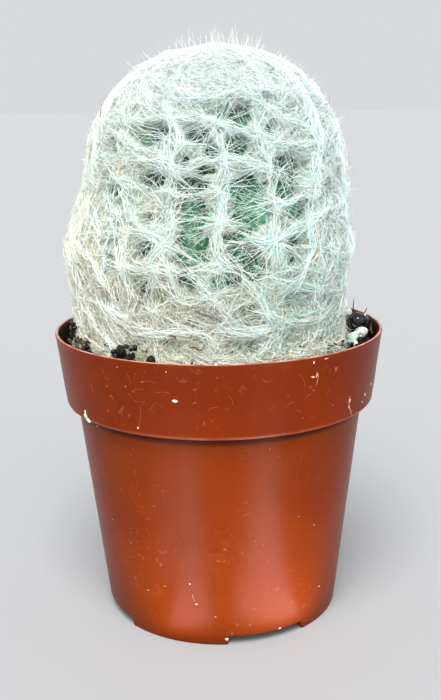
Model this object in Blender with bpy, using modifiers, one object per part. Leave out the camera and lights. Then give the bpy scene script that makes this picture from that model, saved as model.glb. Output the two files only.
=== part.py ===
"""Potted espostoa: a woolly column cactus in a small nursery pot.

Metres, +Z up. The origin is the middle of the pot's base, on the surface that it stands on.
The front of the plant faces -Y, and +X is on its right.
"""

import math
import random

import bmesh
import bpy
from mathutils import Matrix, Vector, noise
from mathutils.bvhtree import BVHTree

# Gap between pieces that touch on the real thing
GAP = 0.0003

# Pot: a moulded 6.5 cm pot with a tall collar
RIM_RADIUS = 0.0325
POT_HEIGHT = 0.0578
WALL = 0.0008
COLLAR_HEIGHT = 0.01425
COLLAR_FOOT_RADIUS = 0.0308
BODY_TOP_RADIUS = 0.0287
BASE_RADIUS = 0.0236
BEAD_RADIUS = 0.00045
COLLAR_ROUNDING = 0.0008
FLOOR_UNDERSIDE = 0.0020
FLOOR_TOP = 0.0029
POT_STEPS = 52

# Heights of the collar's underside outside the pot, and of the step over it inside
LEDGE = POT_HEIGHT - COLLAR_HEIGHT
INNER_STEP = LEDGE + 1.2 * WALL

# Four feet under the pot, with a notch between each two
FEET = 4
NOTCH_HEIGHT = 0.0019
NOTCH_START = math.radians(2.0)
NOTCH_SWEEP = math.radians(41.0)
NOTCH_SLOPE = math.radians(3.0)
NOTCH_STEPS = 10

# Drain holes in the floor
DRAIN_RADIUS = 0.0026
DRAIN_RING_RADIUS = 0.0135
DRAIN_SIDES = 14

# Soil
SOIL_LEVEL = 0.0540
SOIL_LUMPS = 0.0007
SOIL_LUMP_SCALE = 0.0042
SOIL_STEPS = 44
SOIL_EDGE_DROP = 0.0008
SOIL_RINGS = (0.0268, 0.0282, 0.0296)
SOIL_FLAT_RADIUS = 0.0273
SOIL_UNEVEN_RADIUS = 0.0292
STEM_HOLE_CLEARANCE = 0.00045
STEM_HOLE_TOP = 0.0585

# Plant: rib 0 stands a little right of the front, and the ribs go round evenly
RIBS = 16
FIRST_RIB = math.radians(3.0)
RIB_TURN = 2.0 * math.pi / RIBS
COLUMNS_PER_RIB = 4
RIB_DEPTH = 0.0026
LEAN_X = -0.0017
LEAN_FOOT = 0.074
LEAN_TOP = 0.088

# Crest radius of the green body against height, from the buried root neck to the growing tip
STEM_OUTLINE = (
    (0.0075, 0.0300),
    (0.0140, 0.0360),
    (0.0200, 0.0440),
    (0.0226, 0.0510),
    (0.0232, 0.0570),
    (0.0236, 0.0635),
    (0.0243, 0.0700),
    (0.0246, 0.0745),
    (0.0237, 0.0800),
    (0.0226, 0.0855),
    (0.0216, 0.0905),
    (0.0200, 0.0955),
    (0.0174, 0.1000),
    (0.0138, 0.1035),
    (0.0092, 0.1060),
    (0.0045, 0.1073),
)
STEM_FOOT = 0.0280
STEM_TIP = 0.1076

# Radius of the wool's closed undercoat against height, from its hem to the crown
WOOL_OUTLINE = (
    (0.0268, 0.0543),
    (0.0262, 0.0590),
    (0.0264, 0.0650),
    (0.0272, 0.0705),
    (0.0276, 0.0745),
    (0.0264, 0.0795),
    (0.0250, 0.0850),
    (0.0243, 0.0900),
    (0.0232, 0.0950),
    (0.0212, 0.0995),
    (0.0180, 0.1040),
    (0.0139, 0.1072),
    (0.0092, 0.1095),
    (0.0045, 0.1108),
)
WOOL_TIP = 0.1112
WOOL_CLEARANCE = 0.0006

# Tufts of wool round the areoles: rows of them up to the crown, on every rib
ROWS = 11
CROWN_START = 0.92
BOSS = 0.0006
FURROW = 0.0009
FOLD = 0.0003
ROUGHNESS = 0.00015
JITTER = 0.30

# Patches where the wool is thin and the green body shows: turn, height, half widths, strength
THIN_PATCHES = (
    (math.radians(10.0), 0.0800, math.radians(38.0), 0.0260, 0.55),
    (math.radians(140.0), 0.0860, math.radians(30.0), 0.0200, 0.35),
    (math.radians(-110.0), 0.0760, math.radians(26.0), 0.0180, 0.30),
)
GAP_START = 0.40
GAP_END = 0.90
GAP_INSET = 0.25
GAP_DEPTH = 0.0050

# Hairs drawn out of the tufts' folds, away from the areole and up at one of these tilts in degrees
HAIRS_PER_TUFT = (3, 4, 4, 5)
TILTS = (14, 14, 20, 20, 28, 40, 60)
CROWN_TILTS = (20, 45, 65, 80)
HAIR_ROOT = 0.00024
HAIR_TAPER = 1.3
HAIR_MIN = 0.0045
HAIR_MAX = 0.0085
UPRIGHT_SHORTER = 0.6
HAIR_SWING = 0.25
SWAY = math.radians(6.0)
HAIR_GAP = 0.00008
HAIR_TRIES = 5
ROOT_SHARE = 0.36
HEM_CLEARANCE = 0.0008

# Loose bits on the soil: name, turn from the front in degrees, distance from the middle,
# then the size outwards, around and upwards
PERLITE = (
    ("perlite_1", 85.7, 0.0269, (0.0028, 0.0030, 0.0025)),
    ("perlite_2", 91.8, 0.0288, (0.0028, 0.0030, 0.0031)),
    ("perlite_3", 110.6, 0.0282, (0.0038, 0.0040, 0.0044)),
    ("perlite_4", 152.0, 0.0288, (0.0026, 0.0029, 0.0023)),
    ("perlite_5", -150.0, 0.0296, (0.0022, 0.0026, 0.0021)),
)
BARK = (
    ("bark_lump", 100.4, 0.0284, (0.0046, 0.0052, 0.0042)),
    ("bark_clod_1", -34.0, 0.0296, (0.0026, 0.0040, 0.0056)),
    ("bark_clod_2", -24.0, 0.0295, (0.0025, 0.0032, 0.0043)),
    ("bark_chip_1", -91.0, 0.0300, (0.0019, 0.0030, 0.0020)),
    ("bark_chip_2", 179.0, 0.0292, (0.0027, 0.0038, 0.0018)),
)
BIT_LUMPS = 0.0018
PERLITE_LUMPINESS = 0.16
BARK_LUMPINESS = 0.30

SEED = 20


def clear_scene():
    for obj in list(bpy.data.objects):
        bpy.data.objects.remove(obj, do_unlink=True)


def new_collection(name, parent, helper=False):
    made = bpy.data.collections.new(name)
    parent.children.link(made)
    made.hide_render = helper
    return made


def new_material(name, colour, roughness, specular=0.5):
    made = bpy.data.materials.new(name)
    made.use_nodes = True
    shader = made.node_tree.nodes["Principled BSDF"]
    shader.inputs["Base Color"].default_value = (*colour, 1.0)
    shader.inputs["Roughness"].default_value = roughness
    shader.inputs["Metallic"].default_value = 0.0
    shader.inputs["Specular IOR Level"].default_value = specular
    return made


def new_object(name, mesh, home, material=None):
    made = bpy.data.objects.new(name, mesh)
    home.objects.link(made)
    if material:
        mesh.materials.append(material)
    return made


def as_cutter(obj):
    obj.hide_render = True
    obj.display_type = "WIRE"
    return obj


def turned(name, profile, steps, home, material=None):
    """A profile of (radius, height) points, running down its outer side, turned about Z."""
    mesh = bpy.data.meshes.new(name)
    points = [(radius, 0.0, height) for radius, height in profile]
    mesh.from_pydata(points, [(i, i + 1) for i in range(len(points) - 1)], [])
    made = new_object(name, mesh, home, material)
    screw = made.modifiers.new("Turn", "SCREW")
    screw.axis = "Z"
    screw.angle = 2.0 * math.pi
    screw.steps = steps
    screw.render_steps = steps
    screw.use_merge_vertices = True
    screw.merge_threshold = 0.00001
    screw.use_smooth_shade = True
    return made


def make_real(obj):
    """Replaces the object's mesh by what its modifiers make of it."""
    graph = bpy.context.evaluated_depsgraph_get()
    mesh = bpy.data.meshes.new_from_object(obj.evaluated_get(graph))
    obj.modifiers.clear()
    obj.data = mesh
    return obj


def keep_largest_shell(obj):
    """Fills the hollows that joining has sealed, and drops its loose scraps."""
    bm = bmesh.new()
    bm.from_mesh(obj.data)
    left = set(bm.faces)
    shells = []
    while left:
        grown = [left.pop()]
        shell = []
        while grown:
            face = grown.pop()
            shell.append(face)
            for edge in face.edges:
                for near in edge.link_faces:
                    if near in left:
                        left.remove(near)
                        grown.append(near)
        shells.append(shell)
    shells.sort(key=len)
    spare = [face for shell in shells[:-1] for face in shell]
    bmesh.ops.delete(bm, geom=spare, context="FACES")
    bm.to_mesh(obj.data)
    bm.free()


def boolean(obj, operation, other, solver="EXACT"):
    cut = obj.modifiers.new(operation.title(), "BOOLEAN")
    cut.operation = operation
    cut.solver = solver
    if isinstance(other, bpy.types.Collection):
        cut.operand_type = "COLLECTION"
        cut.collection = other
    else:
        cut.object = other
    return cut


def smooth_step(low, high, value):
    part = min(max((value - low) / (high - low), 0.0), 1.0)
    return part * part * (3.0 - 2.0 * part)


def mix(low, high, part):
    return low + (high - low) * part


def lean(height):
    """How far the plant's middle stands to the right of the pot's at this height."""
    return LEAN_X * (1.0 - smooth_step(LEAN_FOOT, LEAN_TOP, height))


def outline_point(outline, tip, place):
    """(radius, height) on a smooth curve through the outline's points and on to its tip."""
    points = list(outline) + [(0.0, tip)]
    points = [points[0]] + points + [(-points[-2][0], points[-2][1])]
    place = min(max(place, 0.0), len(outline) - 1e-6)
    start = int(place)
    t = place - start
    a, b, c, d = points[start : start + 4]
    return tuple(
        0.5 * (2 * b[i] + (c[i] - a[i]) * t + (2 * a[i] - 5 * b[i] + 4 * c[i] - d[i]) * t * t
               + (3 * b[i] - a[i] - 3 * c[i] + d[i]) * t ** 3)
        for i in range(2)
    )


class Meridian:
    """The wool's outline measured along its own length, from the hem up."""

    SAMPLES = 400

    def __init__(self, outline, tip):
        self.points = [
            outline_point(outline, tip, len(outline) * i / self.SAMPLES)
            for i in range(self.SAMPLES + 1)
        ]
        self.reach = [0.0]
        for (r0, z0), (r1, z1) in zip(self.points, self.points[1:]):
            self.reach.append(self.reach[-1] + math.hypot(r1 - r0, z1 - z0))

    @property
    def length(self):
        return self.reach[-1]

    def at(self, distance):
        """(radius, height, outward normal's radial part, its upward part)."""
        distance = min(max(distance, 0.0), self.length * 0.9999)
        low, high = 0, self.SAMPLES
        while high - low > 1:
            middle = (low + high) // 2
            if self.reach[middle] > distance:
                high = middle
            else:
                low = middle
        (r0, z0), (r1, z1) = self.points[low], self.points[high]
        span = self.reach[high] - self.reach[low]
        part = (distance - self.reach[low]) / span
        return mix(r0, r1, part), mix(z0, z1, part), (z1 - z0) / span, (r0 - r1) / span


def direction(turn):
    """The way that faces `turn` radians to the right of the front."""
    return Vector((math.sin(turn), -math.cos(turn), 0.0))


def crest_share(turn):
    """1 on a rib's crest and 0 in the valley between two ribs."""
    return 0.5 + 0.5 * math.cos(RIBS * (turn - FIRST_RIB))


def wool_point(meridian, turn, distance, lift):
    """A point `lift` above the wool's outline, `distance` up from its hem."""
    radius, height, across, upward = meridian.at(distance)
    point = direction(turn) * (radius + lift * across)
    point.z = height + lift * upward
    point.x += lean(height)
    return point


def inner_radius(height):
    """The pot's inner radius, which steps out at the collar."""
    if height >= INNER_STEP:
        part = (height - LEDGE) / COLLAR_HEIGHT
        return mix(COLLAR_FOOT_RADIUS, RIM_RADIUS, part) - WALL
    return mix(BASE_RADIUS, BODY_TOP_RADIUS, min(height / LEDGE, 1.0)) - WALL


def arc(centre_r, centre_z, radius, start, end, count):
    """Points on an arc of the profile, with angles in degrees from +X."""
    made = []
    for i in range(count + 1):
        angle = math.radians(mix(start, end, i / count))
        made.append((centre_r + radius * math.cos(angle), centre_z + radius * math.sin(angle)))
    return made


def make_pot(home, cutters, material):
    rounding = COLLAR_ROUNDING
    profile = [(0.0, FLOOR_TOP), (inner_radius(FLOOR_TOP), FLOOR_TOP)]
    profile += [(inner_radius(LEDGE), LEDGE + WALL), (inner_radius(INNER_STEP), INNER_STEP)]
    # The rim ends in a thin round bead
    bead = BEAD_RADIUS
    profile += [(inner_radius(POT_HEIGHT - 3 * bead), POT_HEIGHT - 3 * bead)]
    profile += arc(RIM_RADIUS - bead, POT_HEIGHT - bead, bead, 170.0, -30.0, 4)
    profile += [(RIM_RADIUS - 0.35 * bead, POT_HEIGHT - 2.4 * bead)]
    profile += arc(COLLAR_FOOT_RADIUS - rounding, LEDGE + rounding, rounding, 5.0, -90.0, 3)
    profile += [(BODY_TOP_RADIUS, LEDGE + 0.1 * rounding)]
    profile += [(BASE_RADIUS, 0.0), (BASE_RADIUS - WALL, 0.0)]
    profile += [(BASE_RADIUS - WALL, FLOOR_UNDERSIDE), (0.0, FLOOR_UNDERSIDE)]
    pot = turned("pot", profile, POT_STEPS, home, material)

    for i in range(FEET):
        turn = NOTCH_START + 2.0 * math.pi * i / FEET
        make_notch(f"notch_{i}", turn, cutters)
        spot = direction(turn + 0.5 * NOTCH_SWEEP) * DRAIN_RING_RADIUS
        make_drain(f"drain_{i}", spot, cutters)
    make_drain("drain_middle", Vector(), cutters)
    boolean(pot, "DIFFERENCE", cutters)
    return pot


def make_notch(name, start, home):
    """Cuts the skirt away between two feet: upright at its first end and sloping at the other."""
    inner = BASE_RADIUS - 2.5 * WALL
    outer = BASE_RADIUS + 2.5 * WALL
    turns = [start + NOTCH_SWEEP * i / NOTCH_STEPS for i in range(NOTCH_STEPS + 1)]
    bm = bmesh.new()
    ring = [bm.verts.new(direction(turn) * inner) for turn in turns]
    ring += [bm.verts.new(direction(turn) * outer) for turn in reversed(turns)]
    base = bm.faces.new(ring)
    for vert in bm.verts:
        vert.co.z = -NOTCH_HEIGHT
    top = bmesh.ops.extrude_face_region(bm, geom=[base])["geom"]
    end = turns[-1]
    for vert in [part for part in top if isinstance(part, bmesh.types.BMVert)]:
        vert.co.z = NOTCH_HEIGHT
        turn = math.atan2(vert.co.x, -vert.co.y) % (2.0 * math.pi)
        if abs(turn - end % (2.0 * math.pi)) < 1e-4:
            back = Matrix.Rotation(-NOTCH_SLOPE, 3, "Z")
            vert.co = back @ vert.co
    bmesh.ops.recalc_face_normals(bm, faces=bm.faces)
    mesh = bpy.data.meshes.new(name)
    bm.to_mesh(mesh)
    bm.free()
    return as_cutter(new_object(name, mesh, home))


def make_drain(name, spot, home):
    bm = bmesh.new()
    bmesh.ops.create_cone(
        bm, cap_ends=True, segments=DRAIN_SIDES, radius1=DRAIN_RADIUS, radius2=DRAIN_RADIUS,
        depth=4.0 * FLOOR_TOP,
    )
    mesh = bpy.data.meshes.new(name)
    bm.to_mesh(mesh)
    bm.free()
    made = as_cutter(new_object(name, mesh, home))
    made.location = spot
    return made


def soil_height(x, y):
    lumps = noise.fractal(Vector((x, y, 0.0)) / SOIL_LUMP_SCALE, 0.8, 2.0, 2)
    from_plant = math.hypot(x - LEAN_X, y)
    uneven = smooth_step(SOIL_FLAT_RADIUS, SOIL_UNEVEN_RADIUS, from_plant)
    return SOIL_LEVEL + SOIL_LUMPS * uneven * lumps


def make_soil(home, cutters, material):
    """The block of potting mix that fills the pot, with a plain hole for the plant."""
    edge = SOIL_LEVEL - SOIL_EDGE_DROP
    profile = [(0.0, SOIL_LEVEL)]
    profile += [(radius, SOIL_LEVEL) for radius in SOIL_RINGS]
    profile += [(inner_radius(edge) - 2.0 * GAP, SOIL_LEVEL)]
    profile += [(inner_radius(edge) - GAP, edge)]
    profile += [(inner_radius(INNER_STEP) - GAP, INNER_STEP + GAP)]
    profile += [(inner_radius(LEDGE) - GAP, LEDGE + WALL + GAP)]
    profile += [(inner_radius(FLOOR_TOP) - GAP, FLOOR_TOP + GAP), (0.0, FLOOR_TOP + GAP)]
    soil = make_real(turned("soil", profile, SOIL_STEPS, home, material))
    for vert in soil.data.vertices:
        if vert.co.z > edge + 1e-5:
            vert.co.z += soil_height(vert.co.x, vert.co.y) - SOIL_LEVEL
    boolean(soil, "DIFFERENCE", stem_hole(cutters))
    return soil


def bit_middle(turn, distance, size):
    """Roughly the middle of a loose bit, before it is seated."""
    spot = direction(math.radians(turn)) * distance
    spot.z = SOIL_LEVEL + 0.5 * size[2]
    return spot


def height_above(surface, point):
    """How high a point is above the surface straight under it, or over it."""
    start = Vector((point.x, point.y, 2.0 * SOIL_LEVEL))
    found = surface.ray_cast(start, Vector((0.0, 0.0, -1.0)))[0]
    return point.z - found.z if found else math.inf


def make_bit(name, turn, distance, size, lumpiness, soil, home, material):
    """A rough grain that rests on the soil."""
    bm = bmesh.new()
    bmesh.ops.create_icosphere(bm, subdivisions=2, radius=0.5)
    place = bit_middle(turn, distance, size)
    for vert in bm.verts:
        lump = noise.noise(vert.co * min(size) / BIT_LUMPS + place * 1000.0)
        vert.co *= (1.0 + lumpiness * lump) / (1.0 + 0.5 * lumpiness)
        vert.co = Vector((vert.co.x * size[1], vert.co.y * size[0], vert.co.z * size[2]))
    facing = Matrix.Rotation(math.radians(turn), 3, "Z")
    bmesh.ops.transform(bm, matrix=facing.to_4x4(), verts=bm.verts)
    drop = min(height_above(soil, place + vert.co) for vert in bm.verts)
    mesh = bpy.data.meshes.new(name)
    bm.to_mesh(mesh)
    bm.free()
    made = new_object(name, mesh, home, material)
    made.location = place - Vector((0.0, 0.0, drop - GAP))
    return made


def make_bits(soil, home, white, dark):
    graph = bpy.context.evaluated_depsgraph_get()
    tree = BVHTree.FromObject(soil, graph)
    for name, turn, distance, size in PERLITE:
        make_bit(name, turn, distance, size, PERLITE_LUMPINESS, tree, home, white)
    for name, turn, distance, size in BARK:
        make_bit(name, turn, distance, size, BARK_LUMPINESS, tree, home, dark)


def stem_profile(extra=0.0):
    """The green body's crest outline, top to bottom, made larger all round by `extra`."""
    body = [(radius + extra, height) for radius, height in reversed(STEM_OUTLINE)]
    return [(0.0, STEM_TIP + extra)] + body + [(0.0, STEM_FOOT - extra)]


def stem_cutter(name, profile, home):
    """A turned cutter that leans with the plant."""
    cutter = make_real(turned(name, profile, 2 * RIBS, home))
    turn_to_first_rib(cutter)
    for vert in cutter.data.vertices:
        vert.co.x += lean(vert.co.z)
    return as_cutter(cutter)


def stem_hole(home):
    """The plain hole in the soil for the lower part of the green body."""
    profile = [point for point in stem_profile(STEM_HOLE_CLEARANCE) if point[1] < STEM_HOLE_TOP]
    profile = [(0.0, STEM_HOLE_TOP), (profile[0][0], STEM_HOLE_TOP)] + profile
    return stem_cutter("stem_hole", profile, home)


def turn_to_first_rib(obj):
    """Turns the mesh so that its first column lies on rib 0's crest."""
    obj.data.transform(Matrix.Rotation(FIRST_RIB - 0.5 * math.pi, 4, "Z"))


def make_stem(home, material):
    """The green body, with its ribs raised by formula."""
    stem = make_real(turned("stem", stem_profile(), RIBS * COLUMNS_PER_RIB, home, material))
    turn_to_first_rib(stem)
    for vert in stem.data.vertices:
        radius = math.hypot(vert.co.x, vert.co.y)
        turn = math.atan2(vert.co.x, -vert.co.y)
        ribbed = smooth_step(0.003, 0.018, radius) * smooth_step(0.046, 0.058, vert.co.z)
        depth = RIB_DEPTH * ribbed * (1.0 - crest_share(turn))
        if radius > 1e-5:
            vert.co.xy *= (radius - depth) / radius
        vert.co.x += lean(vert.co.z)
    return stem


def rib_rows(rib):
    """Quarter rows at which a rib's tufts end, half a row higher on every other rib."""
    top = 4 * ROWS
    if rib % 2:
        return [0] + list(range(2, top, 4)) + [top]
    return list(range(0, top + 1, 4))


class Undercoat:
    """The felt of wool next to the green body, folded into a star round each areole."""

    def __init__(self, meridian, draw):
        self.meridian = meridian
        self.draw = draw
        self.bm = bmesh.new()
        self.made = {}
        self.quarter_row = meridian.length * CROWN_START / (4 * ROWS)
        self.hubs = []
        self.crown_folds = []

    def vert(self, column, row, lift, spread=0.0):
        """The vertex at a quarter column and quarter row, made once."""
        column %= 4 * RIBS
        if (column, row) not in self.made:
            edge = row in (0, 4 * ROWS)
            spread = 0.0 if edge else spread
            turn = FIRST_RIB + (column + self.draw.uniform(-spread, spread)) * RIB_TURN / 4
            distance = (row + self.draw.uniform(-spread, spread)) * self.quarter_row
            fade = smooth_step(0.002, 0.014, self.meridian.at(distance)[0])
            lift = lift * fade + self.draw.uniform(-ROUGHNESS, ROUGHNESS)
            point = wool_point(self.meridian, turn, distance, lift)
            self.made[column, row] = self.bm.verts.new(point)
        return self.made[column, row]

    def edge_vert(self, column, row):
        """A vertex where tufts meet: low in the furrows, and high or low by turns."""
        from_crest = abs((column + 2) % 4 - 2) / 2.0
        fold = (FOLD if (row + column) % 2 == 0 else -FOLD) * self.draw.uniform(0.3, 1.6)
        return self.vert(column, row, fold - FURROW * from_crest, JITTER)

    def tuft(self, rib, low, high):
        """A fan from the areole at the middle of one stretch of a rib to the tuft's edge."""
        left, right = 4 * rib - 2, 4 * rib + 2
        ring = [(column, low) for column in range(left, right)]
        ring += [(right, row) for row in range(low, high)]
        ring += [(column, high) for column in range(right, left, -1)]
        ring += [(left, row) for row in range(high, low, -1)]
        middle = 0.5 * (low + high)
        hub = self.vert(4 * rib, middle, BOSS * self.draw.uniform(0.5, 1.3), 1.6 * JITTER)
        self.hubs.append(hub)
        verts = [self.edge_vert(column, row) for column, row in ring]
        for i, vert in enumerate(verts):
            self.bm.faces.new((hub, vert, verts[(i + 1) % len(verts)]))

    def crown(self):
        """The last small tufts, one over each rib, and the growing tip between them."""
        tip = self.bm.verts.new(wool_point(self.meridian, 0.0, self.meridian.length, 0.0))
        ring = []
        for rib in range(RIBS):
            distance = mix(CROWN_START, 1.0, self.draw.uniform(0.3, 0.7)) * self.meridian.length
            turn = FIRST_RIB + rib * RIB_TURN
            ring.append(self.bm.verts.new(wool_point(self.meridian, turn, distance, BOSS)))
        for rib, hub in enumerate(ring):
            after = ring[(rib + 1) % RIBS]
            columns = range(4 * rib - 2, 4 * rib + 2)
            faces = [(self.edge_vert(column, 4 * ROWS), self.edge_vert(column + 1, 4 * ROWS))
                     for column in columns]
            faces = [self.bm.faces.new((hub, *pair)) for pair in faces]
            self.crown_folds += [(face, hub) for face in faces[::2]]
            self.bm.faces.new((hub, self.edge_vert(4 * rib + 2, 4 * ROWS), after))
            face = self.bm.faces.new((hub, after, tip))
            self.crown_folds.append((face, after if rib % 2 else tip))

    def hem(self):
        self.bm.faces.new([self.edge_vert(column, 0) for column in range(4 * RIBS)][::-1])


UP = Vector((0.0, 0.0, 0.0001))


def gap_between(start, end, other_start, other_end):
    """The least distance between two straight hairs, and how far along each it lies."""
    run, other_run = end - start, other_end - other_start
    apart = start - other_start
    a, e = run.dot(run), other_run.dot(other_run)
    b, c, f = run.dot(other_run), run.dot(apart), other_run.dot(apart)
    spread = a * e - b * b
    along = min(max((b * f - c * e) / spread, 0.0), 1.0) if spread > 1e-18 else 0.0
    other = (b * along + f) / e
    if not 0.0 <= other <= 1.0:
        other = min(max(other, 0.0), 1.0)
        along = min(max((b * other - c) / a, 0.0), 1.0)
    return (apart + run * along - other_run * other).length, along, other


class Coat:
    """The hairs drawn out of the undercoat's folds, each clear of the others."""

    def __init__(self, bm, draw):
        self.bm = bm
        self.draw = draw
        self.hairs = []

    def is_clear(self, root, tip):
        if tip.z < SOIL_LEVEL + HEM_CLEARANCE:
            return False
        if tip.z < POT_HEIGHT + HEM_CLEARANCE:
            if math.hypot(tip.x, tip.y) > inner_radius(POT_HEIGHT) - HEM_CLEARANCE:
                return False
        for _, turn, distance, size in PERLITE + BARK:
            middle = bit_middle(turn, distance, size)
            if gap_between(root, tip, middle, middle + UP)[0] < 0.6 * max(size) + HEM_CLEARANCE:
                return False
        for other_root, other_tip in self.hairs:
            if (root - other_root).length > 2.0 * HAIR_MAX:
                continue
            gap, along, other = gap_between(root, tip, other_root, other_tip)
            if gap < HAIR_ROOT * (2.0 - along - other) + HAIR_GAP:
                return False
        return True

    def draw_out(self, face, hub, tilts):
        """Draws one hair out of a fold, pointing away from its areole, or gives up."""
        base = [vert.co for vert in face.verts if vert is not hub]
        middle = (base[0] + base[1]) / 2.0
        away = middle - hub.co
        side = (base[1] - base[0]).normalized() * HAIR_ROOT
        root = hub.co + away * ROOT_SHARE
        away.normalize()
        normal = face.normal
        for _ in range(HAIR_TRIES):
            tilt = math.radians(self.draw.choice(tilts)) + self.draw.uniform(-SWAY, SWAY)
            length = self.draw.uniform(HAIR_MIN, HAIR_MAX)
            length *= 1.0 - UPRIGHT_SHORTER * math.sin(tilt)
            swing = side.normalized() * self.draw.uniform(-HAIR_SWING, HAIR_SWING)
            tip = root + (away * math.cos(tilt) + normal * math.sin(tilt) + swing) * length
            if self.is_clear(root, tip):
                break
        else:
            return
        self.hairs.append((root, tip))
        corners = [hub] + [vert for vert in face.verts if vert is not hub]
        inner = [root - away * HAIR_ROOT * HAIR_TAPER, root - side, root + side]
        inner = [self.bm.verts.new(corner) for corner in inner]
        point = self.bm.verts.new(tip)
        self.bm.faces.remove(face)
        for i in range(3):
            after = (i + 1) % 3
            self.bm.faces.new((corners[i], corners[after], inner[after]))
            self.bm.faces.new((corners[i], inner[after], inner[i]))
            self.bm.faces.new((inner[i], inner[after], point))


def thinness(point):
    """How thin the wool is here, from 0 to 1: it parts over a few patches of the body."""
    turn = math.atan2(point.x - lean(point.z), -point.y)
    most = 0.0
    for middle, height, half_turn, half_height, strength in THIN_PATCHES:
        off = (turn - middle + math.pi) % (2.0 * math.pi) - math.pi
        reach = math.hypot(off / half_turn, (point.z - height) / half_height)
        most = max(most, strength * (1.0 - smooth_step(0.4, 1.0, reach)))
    return most


def open_gap(bm, face, hub):
    """Sinks a wedge between two folds so deep that it opens onto the green body."""
    base = [vert for vert in face.verts if vert is not hub]
    middle = (base[0].co + base[1].co) / 2.0
    rim = [hub.co.lerp(middle, GAP_START)]
    for vert in base:
        rim.append(hub.co.lerp(vert.co, GAP_END).lerp(hub.co.lerp(middle, GAP_END), GAP_INSET))
    corners = [hub] + base
    upper = [bm.verts.new(corner) for corner in rim]
    lower = []
    for corner in rim:
        axis = Vector((lean(corner.z), 0.0, min(corner.z, 0.092)))
        inward = (axis - corner).normalized()
        lower.append(bm.verts.new(corner + inward * GAP_DEPTH))
    bm.faces.remove(face)
    for i in range(3):
        after = (i + 1) % 3
        bm.faces.new((corners[i], corners[after], upper[after]))
        bm.faces.new((corners[i], upper[after], upper[i]))
        bm.faces.new((upper[i], upper[after], lower[after], lower[i]))
    bm.faces.new(lower)


def make_wool(home, cutters, material):
    draw = random.Random(SEED)
    meridian = Meridian(WOOL_OUTLINE, WOOL_TIP)
    undercoat = Undercoat(meridian, draw)
    for rib in range(RIBS):
        rows = rib_rows(rib)
        for low, high in zip(rows, rows[1:]):
            undercoat.tuft(rib, low, high)
    undercoat.crown()
    undercoat.hem()
    bmesh.ops.recalc_face_normals(undercoat.bm, faces=undercoat.bm.faces)
    coat = Coat(undercoat.bm, draw)
    for face, hub in undercoat.crown_folds:
        coat.draw_out(face, hub, CROWN_TILTS)
    for hub in undercoat.hubs:
        folds = list(hub.link_faces)
        draw.shuffle(folds)
        count = draw.choice(HAIRS_PER_TUFT)
        for face in folds:
            middle = face.calc_center_median()
            if draw.random() < 0.75 * thinness(middle):
                open_gap(undercoat.bm, face, hub)
            elif count:
                coat.draw_out(face, hub, TILTS)
                count -= 1
    bmesh.ops.recalc_face_normals(undercoat.bm, faces=undercoat.bm.faces)
    mesh = bpy.data.meshes.new("wool")
    undercoat.bm.to_mesh(mesh)
    undercoat.bm.free()
    wool = new_object("wool", mesh, home, material)
    boolean(wool, "DIFFERENCE", wool_space(cutters), "MANIFOLD")
    make_real(wool)
    keep_largest_shell(wool)
    return wool


def wool_space(home):
    """The room that the wool leaves for the green body, turned with few faces."""
    outline = STEM_OUTLINE[1:11:2] + STEM_OUTLINE[11:]
    profile = [(0.0, STEM_TIP + WOOL_CLEARANCE)]
    profile += [(radius + WOOL_CLEARANCE, height + 0.5 * WOOL_CLEARANCE)
                for radius, height in reversed(outline)]
    profile += [(0.0, outline[0][1])]
    return stem_cutter("stem_space", profile, home)


def main():
    clear_scene()
    scene = bpy.context.scene
    plant = new_collection("potted_espostoa", scene.collection)
    cutters = new_collection("cutters", scene.collection, helper=True)
    pot_cutters = new_collection("pot_cutters", cutters)
    plastic = new_material("pot_plastic", (0.30, 0.045, 0.010), 0.35)
    potting_mix = new_material("potting_mix", (0.020, 0.014, 0.010), 0.95)
    perlite = new_material("perlite", (0.72, 0.74, 0.68), 0.85)
    bark = new_material("bark", (0.022, 0.016, 0.014), 0.45)
    green = new_material("stem_skin", (0.09, 0.25, 0.10), 0.5)
    white = new_material("wool_hair", (0.80, 0.82, 0.76), 0.8)
    make_pot(plant, pot_cutters, plastic)
    soil = make_soil(plant, cutters, potting_mix)
    make_bits(soil, plant, perlite, bark)
    make_stem(plant, green)
    make_wool(plant, cutters, white)


main()
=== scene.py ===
"""Looks for the potted espostoa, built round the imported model.

Metres, +Z up, in the frame of the solids. The front of the plant faces -Y, and +X is on its right.
Turns are angles round the pot from the front towards the right. Distances on the wool are measured
along its outline, from the hem up. The picture is the photograph's frame of 441 x 700 pixels.
"""

import math

import bmesh
import bpy
import numpy as np
from mathutils import Matrix, Vector


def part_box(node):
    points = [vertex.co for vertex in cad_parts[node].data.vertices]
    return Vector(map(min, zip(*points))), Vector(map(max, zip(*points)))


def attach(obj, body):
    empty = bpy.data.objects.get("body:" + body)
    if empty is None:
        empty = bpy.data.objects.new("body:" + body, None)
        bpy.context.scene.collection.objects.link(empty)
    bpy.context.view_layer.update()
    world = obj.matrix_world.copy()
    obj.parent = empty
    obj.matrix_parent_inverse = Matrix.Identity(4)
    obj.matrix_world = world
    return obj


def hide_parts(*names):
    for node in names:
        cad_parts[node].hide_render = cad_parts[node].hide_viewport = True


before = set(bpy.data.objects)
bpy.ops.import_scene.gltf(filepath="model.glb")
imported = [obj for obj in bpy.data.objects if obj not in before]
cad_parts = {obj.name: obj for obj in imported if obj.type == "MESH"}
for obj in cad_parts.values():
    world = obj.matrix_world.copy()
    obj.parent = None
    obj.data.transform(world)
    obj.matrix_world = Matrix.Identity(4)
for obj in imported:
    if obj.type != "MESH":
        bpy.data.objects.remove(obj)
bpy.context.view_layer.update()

# Camera, fitted to the rim, collar and base of the pot
PHOTO_WIDTH = 441
PHOTO_HEIGHT = 700
FOCAL_PIXELS = 997.4
CAMERA_AT = (-0.0001, -0.1961, 0.1004)
CAMERA_PITCH = 0.2395
CAMERA_YAW = 0.0020
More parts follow.
